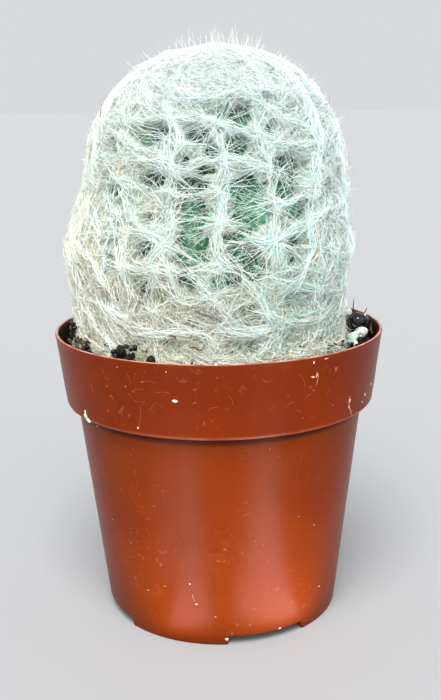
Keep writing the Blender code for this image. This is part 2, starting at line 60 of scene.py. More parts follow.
CAMERA_ROLL = -0.0146
SENSOR = 36.0
NEAREST_HIT, FURTHEST_HIT = 0.10, 0.26

# Pot
RIM_RADIUS = 0.0325
POT_HEIGHT = 0.0578
WALL = 0.0008
COLLAR_HEIGHT = 0.01425
COLLAR_FOOT_RADIUS = 0.0308
BODY_TOP_RADIUS = 0.0287
BASE_RADIUS = 0.0236
BEAD_RADIUS = 0.00034
COLLAR_ROUNDING = 0.0008
FOOT_ROUNDING = 0.00025
FLOOR_UNDERSIDE = 0.0020
FLOOR_TOP = 0.0029
LEDGE = POT_HEIGHT - COLLAR_HEIGHT
INNER_STEP = LEDGE + 1.2 * WALL
FEET = 4
NOTCH_HEIGHT = 0.0019
NOTCH_START = math.radians(2.0)
NOTCH_SWEEP = math.radians(41.0)
NOTCH_SLOPE = math.radians(3.0)
DRAIN_RADIUS = 0.0026
DRAIN_RING_RADIUS = 0.0135
GAP = 0.0003

# Soil and plant
SOIL_LEVEL = 0.0540
RING_OUTSIDE = 0.0308  # how far out loose bits may lie on the soil
HOLE_RADIUS, HOLE_TOP = 0.0237, 0.0585
RIBS = 16
FIRST_RIB = math.radians(3.0)
RIB_TURN = 2.0 * math.pi / RIBS
RIB_DEPTH = 0.0026
LEAN_X = -0.0017
LEAN_FOOT = 0.074
LEAN_TOP = 0.088
STEM_OUTLINE = (
    (0.0075, 0.0300), (0.0140, 0.0360), (0.0200, 0.0440), (0.0226, 0.0510),
    (0.0232, 0.0570), (0.0236, 0.0635), (0.0243, 0.0700), (0.0246, 0.0745),
    (0.0237, 0.0800), (0.0226, 0.0855), (0.0216, 0.0905), (0.0200, 0.0955),
    (0.0174, 0.1000), (0.0138, 0.1035), (0.0092, 0.1060), (0.0045, 0.1073),
)
STEM_FOOT = 0.0280
STEM_TIP = 0.1076
WOOL_OUTLINE = (
    (0.0268, 0.0543), (0.0262, 0.0590), (0.0264, 0.0650), (0.0272, 0.0705),
    (0.0276, 0.0745), (0.0264, 0.0795), (0.0250, 0.0850), (0.0243, 0.0900),
    (0.0232, 0.0950), (0.0212, 0.0995), (0.0180, 0.1040), (0.0139, 0.1072),
    (0.0092, 0.1095), (0.0045, 0.1108),
)
WOOL_TIP = 0.1112
ROWS = 11
CROWN_START = 0.92
UNROLL = 0.0255  # a turn times this is a length along the wool
WIDEST = 0.0277  # the wool's largest radius

draw = np.random.default_rng(20)


# ---------- small helpers

def smooth_step(low, high, value):
    part = np.clip((np.asarray(value, float) - low) / (high - low), 0.0, 1.0)
    return part * part * (3.0 - 2.0 * part)


def mix(low, high, part):
    return low + (high - low) * part


def lean(height):
    return LEAN_X * (1.0 - smooth_step(LEAN_FOOT, LEAN_TOP, height))


def rgb(red, green, blue):
    """A colour given as 0 to 255 on screen, in linear light."""
    made = []
    for part in (red, green, blue):
        part /= 255.0
        made.append(part / 12.92 if part <= 0.04045 else ((part + 0.055) / 1.055) ** 2.4)
    return (*made, 1.0)


def hashed(cells, seed):
    """A repeatable number from 0 to 1 for each row of whole numbers."""
    mixed = cells[..., 0] * 374761393 + cells[..., 1] * 668265263 + cells[..., 2] * 974634777
    mixed = (mixed + seed * 1274126177) & 0xFFFFFFFF
    mixed = ((mixed ^ (mixed >> 13)) * 1274126177) & 0xFFFFFFFF
    return ((mixed ^ (mixed >> 16)) & 0xFFFF) / 65535.0


def soft_noise(points, size, seed=0):
    """Smooth noise from -1 to 1 with lumps of about `size`."""
    place = np.asarray(points, float) / size
    cell = np.floor(place).astype(np.int64)
    part = place - cell
    part = part * part * (3.0 - 2.0 * part)
    total = 0.0
    for corner in np.ndindex(2, 2, 2):
        share = np.prod(np.where(corner, part, 1.0 - part), axis=-1)
        total = total + share * hashed(cell + np.array(corner), seed)
    return 2.0 * total - 1.0


def any_turn(count=None):
    return draw.uniform(0.0, 2.0 * math.pi, count)


def all_round(count):
    """Even turns all the way round."""
    return np.arange(count) * 2.0 * math.pi / count


def steps_along(count):
    """Even steps from 0 to 1, in a row."""
    return np.linspace(0.0, 1.0, count)[None, :]


def round_axis(turn, radius, height):
    """Points at a turn and a radius round the pot's axis."""
    return np.stack([np.sin(turn) * radius, -np.cos(turn) * radius, height], axis=-1)


def add_object(name, data, materials=()):
    made = bpy.data.objects.new(name, data)
    bpy.context.scene.collection.objects.link(made)
    for material in materials:
        data.materials.append(material)
    return made


def mesh_from(name, verts, faces, materials, shades=None):
    """A smooth mesh object of triangles, from arrays."""
    mesh = bpy.data.meshes.new(name)
    mesh.vertices.add(len(verts))
    mesh.vertices.foreach_set("co", np.asarray(verts, np.float32).ravel())
    mesh.loops.add(faces.size)
    mesh.loops.foreach_set("vertex_index", np.asarray(faces, np.int32).ravel())
    mesh.polygons.add(len(faces))
    mesh.polygons.foreach_set("loop_start", np.arange(0, faces.size, 3, dtype=np.int32))
    made = add_object(name, mesh, materials)
    if shades is not None:
        mesh.polygons.foreach_set("material_index", np.asarray(shades, np.int32))
    mesh.polygons.foreach_set("use_smooth", np.full(len(faces), True))
    mesh.update(calc_edges=True)
    return made


def object_from(bm, name, materials=()):
    mesh = bpy.data.meshes.new(name)
    bm.to_mesh(mesh)
    bm.free()
    return add_object(name, mesh, materials)


def skin(name, rings, first, last, materials, downward=False):
    """A closed mesh through rings of points that run upward, with a point at either end."""
    rows, columns = rings.shape[:2]
    here = np.arange(columns)
    after = (here + 1) % columns
    start, end = np.full(columns, rows * columns), np.full(columns, rows * columns + 1)
    faces = [np.stack([start, after, here], axis=-1)]
    for row in range(rows - 1):
        low, high = row * columns, (row + 1) * columns
        faces.append(np.stack([low + here, low + after, high + after], axis=-1))
        faces.append(np.stack([low + here, high + after, high + here], axis=-1))
    top = (rows - 1) * columns
    faces.append(np.stack([top + here, top + after, end], axis=-1))
    faces = np.concatenate(faces)
    if downward:
        faces = faces[:, ::-1]
    verts = np.concatenate([rings.reshape(-1, 3), [first], [last]])
    return mesh_from(name, verts, faces, materials)


def add_layer(obj, name, values):
    """A number for each point of a skin, and 0 for its two ends."""
    layer = obj.data.attributes.new(name, "FLOAT", "POINT")
    layer.data.foreach_set("value", np.append(values.ravel(), [0.0, 0.0]).astype(np.float32))


def finish_piece(obj, node=None):
    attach(obj, "root")
    if node:
        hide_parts(node)
    return obj


# ---------- surfaces of the plant

def curve_through(a, b, c, d, t):
    """A smooth curve from b to c, bent by their neighbours."""
    return 0.5 * (2 * b + (c - a) * t + (2 * a - 5 * b + 4 * c - d) * t * t
                  + (3 * b - a - 3 * c + d) * t ** 3)


class Outline:
    """A surface turned from an outline and its tip, with distances measured along it."""

    SAMPLES = 800

    def __init__(self, outline, tip):
        points = list(outline) + [(0.0, tip)]
        points = [points[0]] + points + [(-points[-2][0], points[-2][1])]
        curve = []
        for place in np.linspace(0.0, len(outline), self.SAMPLES):
            place = min(max(place, 0.0), len(outline) - 1e-6)
            start = int(place)
            near = zip(*points[start : start + 4])
            curve.append([curve_through(*values, place - start) for values in near])
        self.radius, self.height = np.array(curve).T
        steps = np.hypot(np.diff(self.radius), np.diff(self.height))
        self.reach = np.concatenate([[0.0], np.cumsum(steps)])
        self.length = self.reach[-1]
        self.across = np.gradient(self.height, self.reach)
        self.upward = -np.gradient(self.radius, self.reach)

    def fold(self, turn, distance):
        """Carries points that ran over the tip on to the far side."""
        over = distance > self.length
        distance = np.where(over, 2.0 * self.length - distance, distance)
        return np.where(over, turn + math.pi, turn), np.clip(distance, 0.0, self.length)

    def radius_at(self, distance):
        return np.interp(distance, self.reach, self.radius)

    def height_at(self, distance):
        return np.interp(distance, self.reach, self.height)

    def distance_at(self, height):
        return np.interp(height, self.height, self.reach)

    def place(self, turn, distance, lift):
        """Points `lift` above the surface."""
        turn, distance = self.fold(turn, distance)
        across = np.interp(distance, self.reach, self.across)
        upward = np.interp(distance, self.reach, self.upward)
        height = self.height_at(distance)
        radius = self.radius_at(distance) + lift * across
        return np.stack([
            np.sin(turn) * radius + lean(height),
            -np.cos(turn) * radius,
            height + lift * upward,
        ], axis=-1)


WOOL = Outline(WOOL_OUTLINE, WOOL_TIP)
STEM_RADII = np.array([point[0] for point in STEM_OUTLINE] + [0.0])
STEM_HEIGHTS = np.array([point[1] for point in STEM_OUTLINE] + [STEM_TIP])
QUARTER_ROW = WOOL.length * CROWN_START / (4 * ROWS)
CROWN_AREOLE = 0.958 * WOOL.length


def crest_share(turn):
    """1 on a rib's crest and 0 in the valley between two ribs."""
    return 0.5 + 0.5 * np.cos(RIBS * (turn - FIRST_RIB))


def near_turn(turn, other):
    """The shortest way round from one turn to another."""
    return (turn - other + math.pi) % (2.0 * math.pi) - math.pi


def rib_rows(rib):
    """Quarter rows at which a rib's tufts end, half a row higher on every other rib."""
    top = 4 * ROWS
    if rib % 2:
        return [0] + list(range(2, top, 4)) + [top]
    return list(range(0, top + 1, 4))


def make_areoles():
    """(turn, distance) of each areole, as in the solids, up to the crown."""
    made = []
    for rib in range(RIBS):
        turn = FIRST_RIB + rib * RIB_TURN
        rows = rib_rows(rib)
        made += [(turn, 0.5 * (low + high) * QUARTER_ROW) for low, high in zip(rows, rows[1:])]
        made.append((turn, CROWN_AREOLE))
    made = np.array(made)
    made[:, 0] += draw.normal(0.0, 0.018, len(made))
    made[:, 1] += draw.normal(0.0, 0.00035, len(made))
    return made


# ---------- the photograph's camera

def camera_axes():
    ahead = np.array([
        math.sin(CAMERA_YAW) * math.cos(CAMERA_PITCH),
        math.cos(CAMERA_YAW) * math.cos(CAMERA_PITCH),
        -math.sin(CAMERA_PITCH),
    ])
    level = np.array([math.cos(CAMERA_YAW), -math.sin(CAMERA_YAW), 0.0])
    upright = np.cross(level, ahead)
    right = math.cos(CAMERA_ROLL) * level + math.sin(CAMERA_ROLL) * upright
    up = -math.sin(CAMERA_ROLL) * level + math.cos(CAMERA_ROLL) * upright
    return ahead, right, up


def make_camera():
    ahead, right, up = camera_axes()
    lens = bpy.data.cameras.new("camera")
    lens.sensor_width = SENSOR
    lens.lens = FOCAL_PIXELS / PHOTO_HEIGHT * SENSOR
    lens.clip_start = 0.005
    camera = add_object("camera", lens)
    turn = Matrix((right, up, -ahead)).transposed().to_4x4()
    camera.matrix_world = Matrix.Translation(CAMERA_AT) @ turn
    bpy.context.scene.camera = camera


def first_hit(across, down, samples, heights, radii, below, centre):
    """Where the lines of sight through points of the picture first meet a turned surface."""
    ahead, right, up = camera_axes()
    across = np.atleast_1d(np.asarray(across, float))[:, None]
    down = np.atleast_1d(np.asarray(down, float))[:, None]
    line = ahead + right * (across - PHOTO_WIDTH / 2) / FOCAL_PIXELS
    line = line - up * (down - PHOTO_HEIGHT / 2) / FOCAL_PIXELS
    line = line / np.linalg.norm(line, axis=1, keepdims=True)
    reach = np.linspace(NEAREST_HIT, FURTHEST_HIT, samples)
    points = np.array(CAMERA_AT) + line[:, None, :] * reach[None, :, None]
    height = points[..., 2]
    outline = np.interp(height, heights, radii, left=below, right=0.0)
    off = np.hypot(points[..., 0] - centre(height), points[..., 1]) - outline
    hit = off < 0.0
    first = np.where(hit.any(axis=1), hit.argmax(axis=1), off.argmin(axis=1))
    return points[np.arange(len(first)), first]


def on_wool(across, down):
    """(turn, distance) of the places on the wool that lie at these points of the picture."""
    found = first_hit(across, down, 640, WOOL.height, WOOL.radius, WOOL_OUTLINE[0][0], lean)
    turn = np.arctan2(found[:, 0] - lean(found[:, 2]), -found[:, 1])
    return turn, WOOL.distance_at(found[:, 2])


def on_pot(across, down):
    """Points on the outside of the pot that lie at these points of the picture."""
    heights = (0.0, LEDGE - 1e-6, LEDGE, POT_HEIGHT)
    radii = (BASE_RADIUS, BODY_TOP_RADIUS, COLLAR_FOOT_RADIUS, RIM_RADIUS)
    return first_hit(across, down, 3200, heights, radii, 0.0, lambda height: 0.0)


# ---------- materials

class Surface:
    """A material with one colour."""

    def __init__(self, name, colour, roughness, specular=0.5):
        self.material = bpy.data.materials.new(name)
        self.material.use_nodes = True
        self.tree = self.material.node_tree
        self.inputs = self.tree.nodes["Principled BSDF"].inputs
        self.inputs["Base Color"].default_value = colour
        self.inputs["Roughness"].default_value = roughness
        self.inputs["Specular IOR Level"].default_value = specular


class Graph(Surface):
    """A procedural material, with short ways to add its nodes."""

    def __init__(self, *settings):
        super().__init__(*settings)
        self.place = self.node("ShaderNodeTexCoord", "Object")

    def feed(self, socket, value):
        if isinstance(value, bpy.types.NodeSocket):
            self.tree.links.new(value, socket)
        else:
            socket.default_value = value

    def node(self, kind, output, values=(), **settings):
        """Adds a node, feeds its inputs, and returns one of its outputs."""
        made = self.tree.nodes.new(kind)
        for name, value in settings.items():
            setattr(made, name, value)
        for name, value in dict(values).items():
            self.feed(made.inputs[name], value)
        return made.outputs[output]

    def noise(self, size, detail=3.0, roughness=0.55, stretch=None, distortion=0.0):
        """Noise from 0 to 1 with lumps of about `size` metres."""
        place = self.place
        if stretch:
            place = self.node("ShaderNodeMapping", "Vector", {"Vector": place, "Scale": stretch})
        return self.node("ShaderNodeTexNoise", "Fac", {
            "Vector": place, "Scale": 1.0 / size, "Detail": detail,
            "Roughness": roughness, "Distortion": distortion})

    def band(self, value, low, high, to_low=0.0, to_high=1.0):
        """A smooth change of output as the value goes from low to high."""
        return self.node("ShaderNodeMapRange", "Result", {
            "Value": value, "From Min": low, "From Max": high,
            "To Min": to_low, "To Max": to_high}, interpolation_type="SMOOTHSTEP")

    def math(self, operation, first, second=0.0):
        return self.node("ShaderNodeMath", 0, {0: first, 1: second}, operation=operation)

    def times(self, first, second):
        return self.math("MULTIPLY", first, second)

    def plus(self, first, second):
        return self.math("ADD", first, second)

    def blend(self, share, first, second):
        return self.node("ShaderNodeMix", "Result",
                         {"Factor": share, "A": first, "B": second}, data_type="RGBA")

    def tint(self, base, share, most, colour):
        """Blends in a colour, up to `most` where the share is 1."""
        return self.blend(self.times(share, most), base, rgb(*colour))

    def height(self):
        return self.node("ShaderNodeSeparateXYZ", "Z", {0: self.place})

    def around(self):
        """Distance from the pot's axis."""
        flat = self.node("ShaderNodeVectorMath", 0,
                         {0: self.place, 1: (1.0, 1.0, 0.0)}, operation="MULTIPLY")
        return self.node("ShaderNodeVectorMath", "Value", {0: flat}, operation="LENGTH")

    def attribute(self, name):
        return self.node("ShaderNodeAttribute", "Fac", attribute_name=name)

    def finish(self, colour, relief, depth, strength=1.0, roughness=None):
        normal = self.node("ShaderNodeBump", "Normal",
                           {"Height": relief, "Distance": depth, "Strength": strength})
        self.feed(self.inputs["Base Color"], colour)
        self.feed(self.inputs["Normal"], normal)
        if roughness is not None:
            self.feed(self.inputs["Roughness"], roughness)
        return self.material


def pot_plastic():
    """Moulded plastic: clouded, dusty, finely scratched, soiled inside, with painted shade and
    highlights.
    """
    graph = Graph("pot_plastic", rgb(104, 36, 0), 0.34, 0.085)
    band, noise, times, plus, tint = graph.band, graph.noise, graph.times, graph.plus, graph.tint
    height = graph.height()
    cloud = noise(0.020, 2.0)
    collar = band(height, LEDGE - 0.0002, LEDGE + 0.0002)
    colour = graph.blend(collar, rgb(103, 37, 1), rgb(104, 33, 0))
    colour = tint(colour, band(cloud, 0.65, 0.35), 0.5, (90, 28, 0))
    dust_cloud = band(noise(0.013, 3.0, 0.6), 0.42, 0.70)
    dust = times(band(noise(0.0011, 4.0, 0.65), 0.60, 0.74), dust_cloud)
    dust_and_sheen = times(band(noise(0.004, 5.0, 0.7), 0.52, 0.80), dust_cloud)
    # paler near the foot: partly dust, partly a painted reflection of the floor
    dust_and_sheen = plus(dust_and_sheen, times(band(height, 0.016, 0.001), 0.25))
    # short curved scratches: thin level lines of a soft noise, broken up by another
    level = graph.math("ABSOLUTE", graph.math("SUBTRACT", noise(0.0040, 1.0, 0.5), 0.5))
    broken = band(noise(0.0016, 2.0, 0.5), 0.56, 0.64)
    scuffs = times(times(band(level, 0.010, 0.003), broken), band(cloud, 0.40, 0.60))
    scuffs = times(scuffs, plus(times(collar, 0.80), 0.20))
    colour = tint(colour, dust_and_sheen, 0.10, (190, 92, 24))
    colour = tint(colour, scuffs, 0.20, (190, 104, 66))
    colour = tint(colour, dust, 0.26, (200, 140, 104))
    # painted shade under the collar, and painted highlight at its foot and on the rim
    below = times(band(height, LEDGE - 0.0021, LEDGE - 0.0009),
                  band(height, LEDGE + 0.0001, LEDGE - 0.0001))
    colour = tint(colour, below, 0.84, (36, 6, 0))
    # painted highlight: a pale line along the rim's top and the collar's foot
    edge = plus(band(height, POT_HEIGHT - 0.00022, POT_HEIGHT - 0.00006, 0.0, 0.6),
                times(band(height, LEDGE + 0.0009, LEDGE + 0.0005, 0.0, 0.4),
                      band(height, LEDGE - 0.0001, LEDGE + 0.0002)))
    edge = times(edge, band(noise(0.003, 3.0), 0.30, 0.60, 0.4, 1.0))
    colour = tint(colour, edge, 0.26, (204, 128, 100))
    # painted highlight: a thin pale line on the rim's top
    lip = times(band(height, POT_HEIGHT - 0.00011, POT_HEIGHT - 0.00005),
                band(noise(0.0026, 3.0, 0.6), 0.36, 0.60, 0.35, 1.0))
    colour = tint(colour, lip, 0.48, (236, 184, 164))
    # soil stains the inside above its level, and painted shade darkens the whole inner wall
    slope = (RIM_RADIUS - COLLAR_FOOT_RADIUS) / COLLAR_HEIGHT
    wall = plus(times(graph.math("SUBTRACT", height, LEDGE), slope), COLLAR_FOOT_RADIUS)
    inside = band(graph.math("SUBTRACT", wall, graph.around()), 0.0004, 0.0006)
    inside = times(inside, band(height, LEDGE + 0.002, LEDGE + 0.003))
    ragged = plus(height, times(noise(0.0022, 4.0, 0.7), 0.006))
    dirt_and_inner_shade = times(inside, band(ragged, 0.0612, 0.0594, 0.55, 1.0))
    colour = tint(colour, dirt_and_inner_shade, 0.96, (22, 13, 9))
    rough = plus(plus(0.33, times(dust_and_sheen, 0.20)), times(scuffs, 0.25))
    grain = plus(noise(0.00035, 2.0), times(scuffs, -0.8))
    rings = noise(0.0012, 2.0, stretch=(0.03, 0.03, 1.0))
    return graph.finish(colour, plus(grain, times(rings, 0.6)), 0.00003, 0.6, rough)


def mineral(name, light, dark, size, roughness):
    graph = Graph(name, rgb(*light), roughness, 0.3)
    spots = graph.band(graph.noise(size, 5.0, 0.7), 0.35, 0.62)
    colour = graph.blend(spots, rgb(*dark), rgb(*light))
    return graph.finish(colour, graph.noise(size * 0.5, 4.0, 0.7), 0.00018)


MINERALS = {
    # light and dark colours, size of its spots, roughness
    "potting_mix": ((66, 54, 45), (24, 19, 17), 0.0009, 0.92),
    "perlite": ((234, 236, 228), (168, 176, 158), 0.0007, 0.85),
    "green_perlite": ((212, 238, 220), (146, 196, 168), 0.0008, 0.8),
    "dry_litter": ((84, 58, 42), (34, 22, 16), 0.0006, 0.7),
    "dry_strand": ((166, 162, 152), (60, 54, 50), 0.0004, 0.8),
    "peat": ((98, 92, 66), (38, 34, 24), 0.0006, 0.9),
    "pale_flake": ((226, 230, 204), (150, 178, 150), 0.0007, 0.7),
    "scuffed_plastic": ((152, 74, 40), (122, 48, 16), 0.0005, 0.6),
    "grime": ((104, 84, 56), (58, 50, 38), 0.0006, 0.9),
    "chalk": ((222, 176, 160), (178, 96, 66), 0.0004, 0.9),
}


def bark_material(name, shine, dark, light, specular, depth):
    graph = Graph(name, rgb(*light), 0.42, specular)
    grain = graph.noise(0.0008, 6.0, 0.7, stretch=(1.0, 1.0, 2.6), distortion=0.6)
    colour = graph.blend(graph.band(grain, 0.40, 0.75), rgb(*dark), rgb(*light))
    rough = graph.band(grain, 0.35, 0.70, *shine)
    return graph.finish(colour, grain, depth, roughness=rough)


def stem_material():
    graph = Graph("stem_skin", rgb(118, 182, 146), 0.45)
    wide = graph.band(graph.noise(0.0050, 3.0, 0.6), 0.40, 0.60)
    fine = graph.band(graph.noise(0.0016, 4.0, 0.6), 0.35, 0.70)
    colour = graph.blend(wide, rgb(30, 102, 52), rgb(78, 168, 122))
    colour = graph.tint(colour, fine, 0.35, (164, 216, 192))
    # darker green in the furrows between the ribs: painted shade
    valley = graph.band(graph.attribute("valley"), 0.2, 0.9)
    colour = graph.tint(colour, valley, 0.45, (36, 78, 44))
    rough = graph.band(fine, 0.0, 1.0, 0.38, 0.60)
    return graph.finish(colour, graph.noise(0.0005, 3.0), 0.00008, roughness=rough)


def felt_material():
    """Matted wool deep between the hairs: cream low down, white above, with painted shade between
    its fibres and in its hollows.
    """
    graph = Graph("wool_felt", rgb(214, 212, 196), 0.9, 0.2)
    band, noise, blend, tint = graph.band, graph.noise, graph.blend, graph.tint
    height = graph.height()
    tall = graph.plus(height, graph.times(noise(0.006, 3.0, 0.6), 0.014))
    tall = band(tall, 0.066, 0.100)
    colour = blend(tall, rgb(222, 220, 198), rgb(204, 214, 207))
    colour = blend(band(height, 0.094, 0.104), colour, rgb(228, 236, 236))
    # mint tint: near the windows a painted glow from the green stem
    mint = graph.attribute("mint")
    colour = tint(colour, mint, 0.60, (208, 236, 220))
    one = noise(0.00045, 3.0, 0.7, stretch=(0.5, 0.5, 2.0), distortion=1.2)
    two = noise(0.00045, 3.0, 0.7, stretch=(2.0, 2.0, 0.5), distortion=1.2)
    fibre = band(graph.math("MAXIMUM", one, two), 0.46, 0.72)
    colour = tint(colour, fibre, 0.55, (226, 232, 222))
    # painted shade between the fibres, stronger low down
    fibre_gap_shade = graph.times(band(fibre, 0.5, 0.0, 0.0, 0.55), band(tall, 0.0, 1.0, 1.0, 0.4))
    colour = blend(fibre_gap_shade, colour, rgb(146, 144, 108))
    # painted shade in the window pits and the folds between the ribs: olive strands, greener near
    # the windows
    deep = blend(mint, rgb(158, 152, 108), rgb(74, 154, 108))
    pale = blend(mint, rgb(198, 198, 166), rgb(170, 214, 192))
    strand = noise(0.00022, 3.0, 0.8, stretch=(1.0, 1.0, 0.6), distortion=1.8)
    strand = graph.math("MAXIMUM", graph.times(fibre, 0.6), band(strand, 0.46, 0.62))
    hollow_shade = graph.times(graph.attribute("hollow_shade"), 0.82)
    colour = blend(hollow_shade, colour, blend(strand, deep, pale))
    return graph.finish(colour, fibre, 0.00025, 0.9)


HAIR_SHADES = {
    "wool_white": (240, 248, 246),
    "wool_cool": (224, 240, 240),
    "wool_mint": (196, 236, 226),
    "wool_cream": (242, 242, 226),
    "wool_beige": (230, 222, 194),
    "wool_straw": (184, 156, 104),
    "wool_grey": (198, 206, 192),
}
WHITE, COOL, MINT, CREAM, BEIGE, STRAW, GREY = range(7)


def make_materials():
    """The hair's materials in the order of its shades, and the rest by name."""
    hair = [Surface(name, rgb(*colour), 0.6, 0.2).material for name, colour in HAIR_SHADES.items()]
    made = {name: mineral(name, *settings) for name, settings in MINERALS.items()}
    made["bark"] = bark_material("bark", (0.40, 0.85), (9, 7, 7), (46, 37, 32), 0.25, 0.00025)
    made["wet_bark"] = bark_material("wet_bark", (0.05, 0.22), (3, 4, 6), (15, 17, 21),
                                     0.36, 0.00014)
    made["pot_plastic"] = pot_plastic()
    made["stem_skin"] = stem_material()
    made["wool_felt"] = felt_material()
    return hair, made


# ---------- pot

def outer_radius(height):
    if height >= LEDGE:
        return mix(COLLAR_FOOT_RADIUS, RIM_RADIUS, (height - LEDGE) / COLLAR_HEIGHT)
    return mix(BASE_RADIUS, BODY_TOP_RADIUS, height / LEDGE)


def inner_radius(height):
    """The pot's inner radius, which steps out a little above the ledge."""
    if height >= INNER_STEP:
        return outer_radius(height) - WALL
    return mix(BASE_RADIUS, BODY_TOP_RADIUS, min(height / LEDGE, 1.0)) - WALL


def arc(centre_r, centre_z, radius, start, end, count):
    angles = [math.radians(mix(start, end, i / count)) for i in range(count + 1)]
    return [(centre_r + radius * math.cos(a), centre_z + radius * math.sin(a)) for a in angles]


def make_real(obj):
    graph = bpy.context.evaluated_depsgraph_get()
    mesh = bpy.data.meshes.new_from_object(obj.evaluated_get(graph))
    obj.modifiers.clear()
    obj.data = mesh
    return obj


def turned(name, profile, steps, materials=()):
    """A profile that runs down its outer side, turned about Z, as a closed mesh."""
    mesh = bpy.data.meshes.new(name)
    points = [(radius, 0.0, height) for radius, height in profile]
    mesh.from_pydata(points, [(i, i + 1) for i in range(len(points) - 1)], [])
    made = add_object(name, mesh, materials)
    screw = made.modifiers.new("Turn", "SCREW")
    screw.steps = screw.render_steps = steps
    screw.use_merge_vertices = True
    screw.merge_threshold = 0.00001
    screw.use_smooth_shade = True
    return make_real(made)


def leaning(obj):
    """Shifts a cutter the way the plant leans."""
    for vert in obj.data.vertices:
        vert.co.x += float(lean(vert.co.z))
    return obj


def cut(obj, cutters):
    """Takes the cutters away from the object, and removes them."""
    for cutter in cutters:
        change = obj.modifiers.new("Cut", "BOOLEAN")
        change.operation = "DIFFERENCE"
        change.solver = "MANIFOLD"
        change.object = cutter
    bpy.context.view_layer.update()
    make_real(obj)
    for cutter in cutters:
        bpy.data.objects.remove(cutter, do_unlink=True)


def notch_cutter(start):
    """A curved block that parts two feet, with one sloping end."""
    steps = 24
    bm = bmesh.new()
    verts = []
    for height, slope in ((-NOTCH_HEIGHT, 0.0), (NOTCH_HEIGHT, NOTCH_SLOPE)):
        for i in range(steps + 1):
            turn = start + (NOTCH_SWEEP - (slope if i == steps else 0.0)) * i / steps
            for radius in (BASE_RADIUS - 2.5 * WALL, BASE_RADIUS + 2.5 * WALL):
                verts.append(bm.verts.new(round_axis(turn, radius, height)))
    layer = 2 * (steps + 1)
    faces = []
    for a in range(0, 2 * steps, 2):
        b = a + 2
        faces += [(a, a + 1, b + 1, b), (layer + a, layer + b, layer + b + 1, layer + a + 1)]
        faces += [(a + side, b + side, layer + b + side, layer + a + side) for side in (0, 1)]
    faces += [(end, end + 1, layer + end + 1, layer + end) for end in (0, 2 * steps)]
    for face in faces:
        bm.faces.new([verts[i] for i in face])
    bmesh.ops.recalc_face_normals(bm, faces=bm.faces)
    return object_from(bm, "notch")


def drain_cutter(place):
    bm = bmesh.new()
    bmesh.ops.create_cone(bm, cap_ends=True, segments=36, radius1=DRAIN_RADIUS,
                          radius2=DRAIN_RADIUS, depth=4.0 * FLOOR_TOP)
    bmesh.ops.translate(bm, vec=place, verts=bm.verts)
    return object_from(bm, "drain")


def make_pot(material):
    rounding, bead = COLLAR_ROUNDING, BEAD_RADIUS
    lip = POT_HEIGHT - 3 * bead
    profile = [(0.0, FLOOR_TOP), (inner_radius(FLOOR_TOP), FLOOR_TOP),
               (inner_radius(LEDGE), LEDGE + WALL), (inner_radius(INNER_STEP), INNER_STEP),
               (inner_radius(lip), lip)]
    profile += arc(RIM_RADIUS - bead, POT_HEIGHT - bead, bead, 170.0, -30.0, 10)
    profile.append((RIM_RADIUS - 0.35 * bead, POT_HEIGHT - 2.4 * bead))
    for share in (0.25, 0.5, 0.75):
        height = mix(POT_HEIGHT, LEDGE, share)
        profile.append((outer_radius(height) - 0.00005 * math.sin(math.pi * share), height))
    profile += arc(COLLAR_FOOT_RADIUS - rounding, LEDGE + rounding, rounding, 5.0, -90.0, 8)
    profile.append((BODY_TOP_RADIUS, LEDGE + 0.1 * rounding))
    for share in (0.04, 0.2, 0.4, 0.6, 0.8, 0.95):
        height = mix(LEDGE, 0.0, share)
        profile.append((outer_radius(height), height))
    profile += arc(BASE_RADIUS - FOOT_ROUNDING, FOOT_ROUNDING, FOOT_ROUNDING, 0.0, -90.0, 3)
    profile += [(BASE_RADIUS - WALL, 0.0), (BASE_RADIUS - WALL, FLOOR_UNDERSIDE),
                (0.0, FLOOR_UNDERSIDE)]
    pot = turned("pot_shell", profile, 200, [material])
    cutters = []
    for i in range(FEET):
        start = NOTCH_START + 2.0 * math.pi * i / FEET
        cutters.append(notch_cutter(start))
        cutters.append(drain_cutter(round_axis(start + 0.5 * NOTCH_SWEEP, DRAIN_RING_RADIUS, 0.0)))
    cutters.append(drain_cutter((0.0, 0.0, 0.0)))
    cut(pot, cutters)
    pot.data.shade_smooth()
    pot.data.set_sharp_from_angle(angle=math.radians(35.0))
    return finish_piece(pot, "pot")


# ---------- soil

def soil_height(x, y):
    """The top of the soil: level under the plant and rough in the ring round it."""
    points = np.stack([x, y, np.zeros_like(x)], axis=-1)
    off = np.hypot(x - LEAN_X, y)
    lumps = 0.0006 * soft_noise(points, 0.0034, 3) + 0.00045 * soft_noise(points, 0.0012, 4)
    fine = 0.00022 * soft_noise(points, 0.0005, 5)
    fine = fine * smooth_step(0.0255, 0.027, off)
    return SOIL_LEVEL + smooth_step(0.0268, 0.0290, off) * lumps + fine


def soil_under(x, y):
    return float(soil_height(np.array(x), np.array(y)))


def make_soil(material):
    turns = all_round(288)
    edge = SOIL_LEVEL - 0.0007
    wall = inner_radius(edge) - 0.0002
    rings = []
    for radius in [0.018, 0.0235] + list(np.linspace(0.0250, wall - 0.0003, 17)):
        x, y = np.sin(turns) * radius, -np.cos(turns) * radius
        rings.append(np.stack([x, y, soil_height(x, y)], axis=-1))
    for radius, height in ((wall, edge), (inner_radius(INNER_STEP) - GAP, INNER_STEP + GAP),
                           (inner_radius(LEDGE) - GAP, LEDGE + WALL + GAP),
                           (inner_radius(FLOOR_TOP) - GAP, FLOOR_TOP + GAP)):
        rings.append(round_axis(turns, radius, np.full(len(turns), height)))
    soil = skin("soil_bed", np.array(rings), (0, 0, SOIL_LEVEL), (0, 0, FLOOR_TOP + GAP),
                [material], downward=True)
    hole = [(0.0, HOLE_TOP), (HOLE_RADIUS, HOLE_TOP), (HOLE_RADIUS, 0.0570)]
    hole += [(radius + 0.0004, height) for radius, height in reversed(STEM_OUTLINE[:4])]
    hole.append((0.0, STEM_FOOT - 0.0004))
    cut(soil, [leaning(turned("hole", hole, 64))])
    soil.data.shade_smooth()
    return finish_piece(soil, "soil")


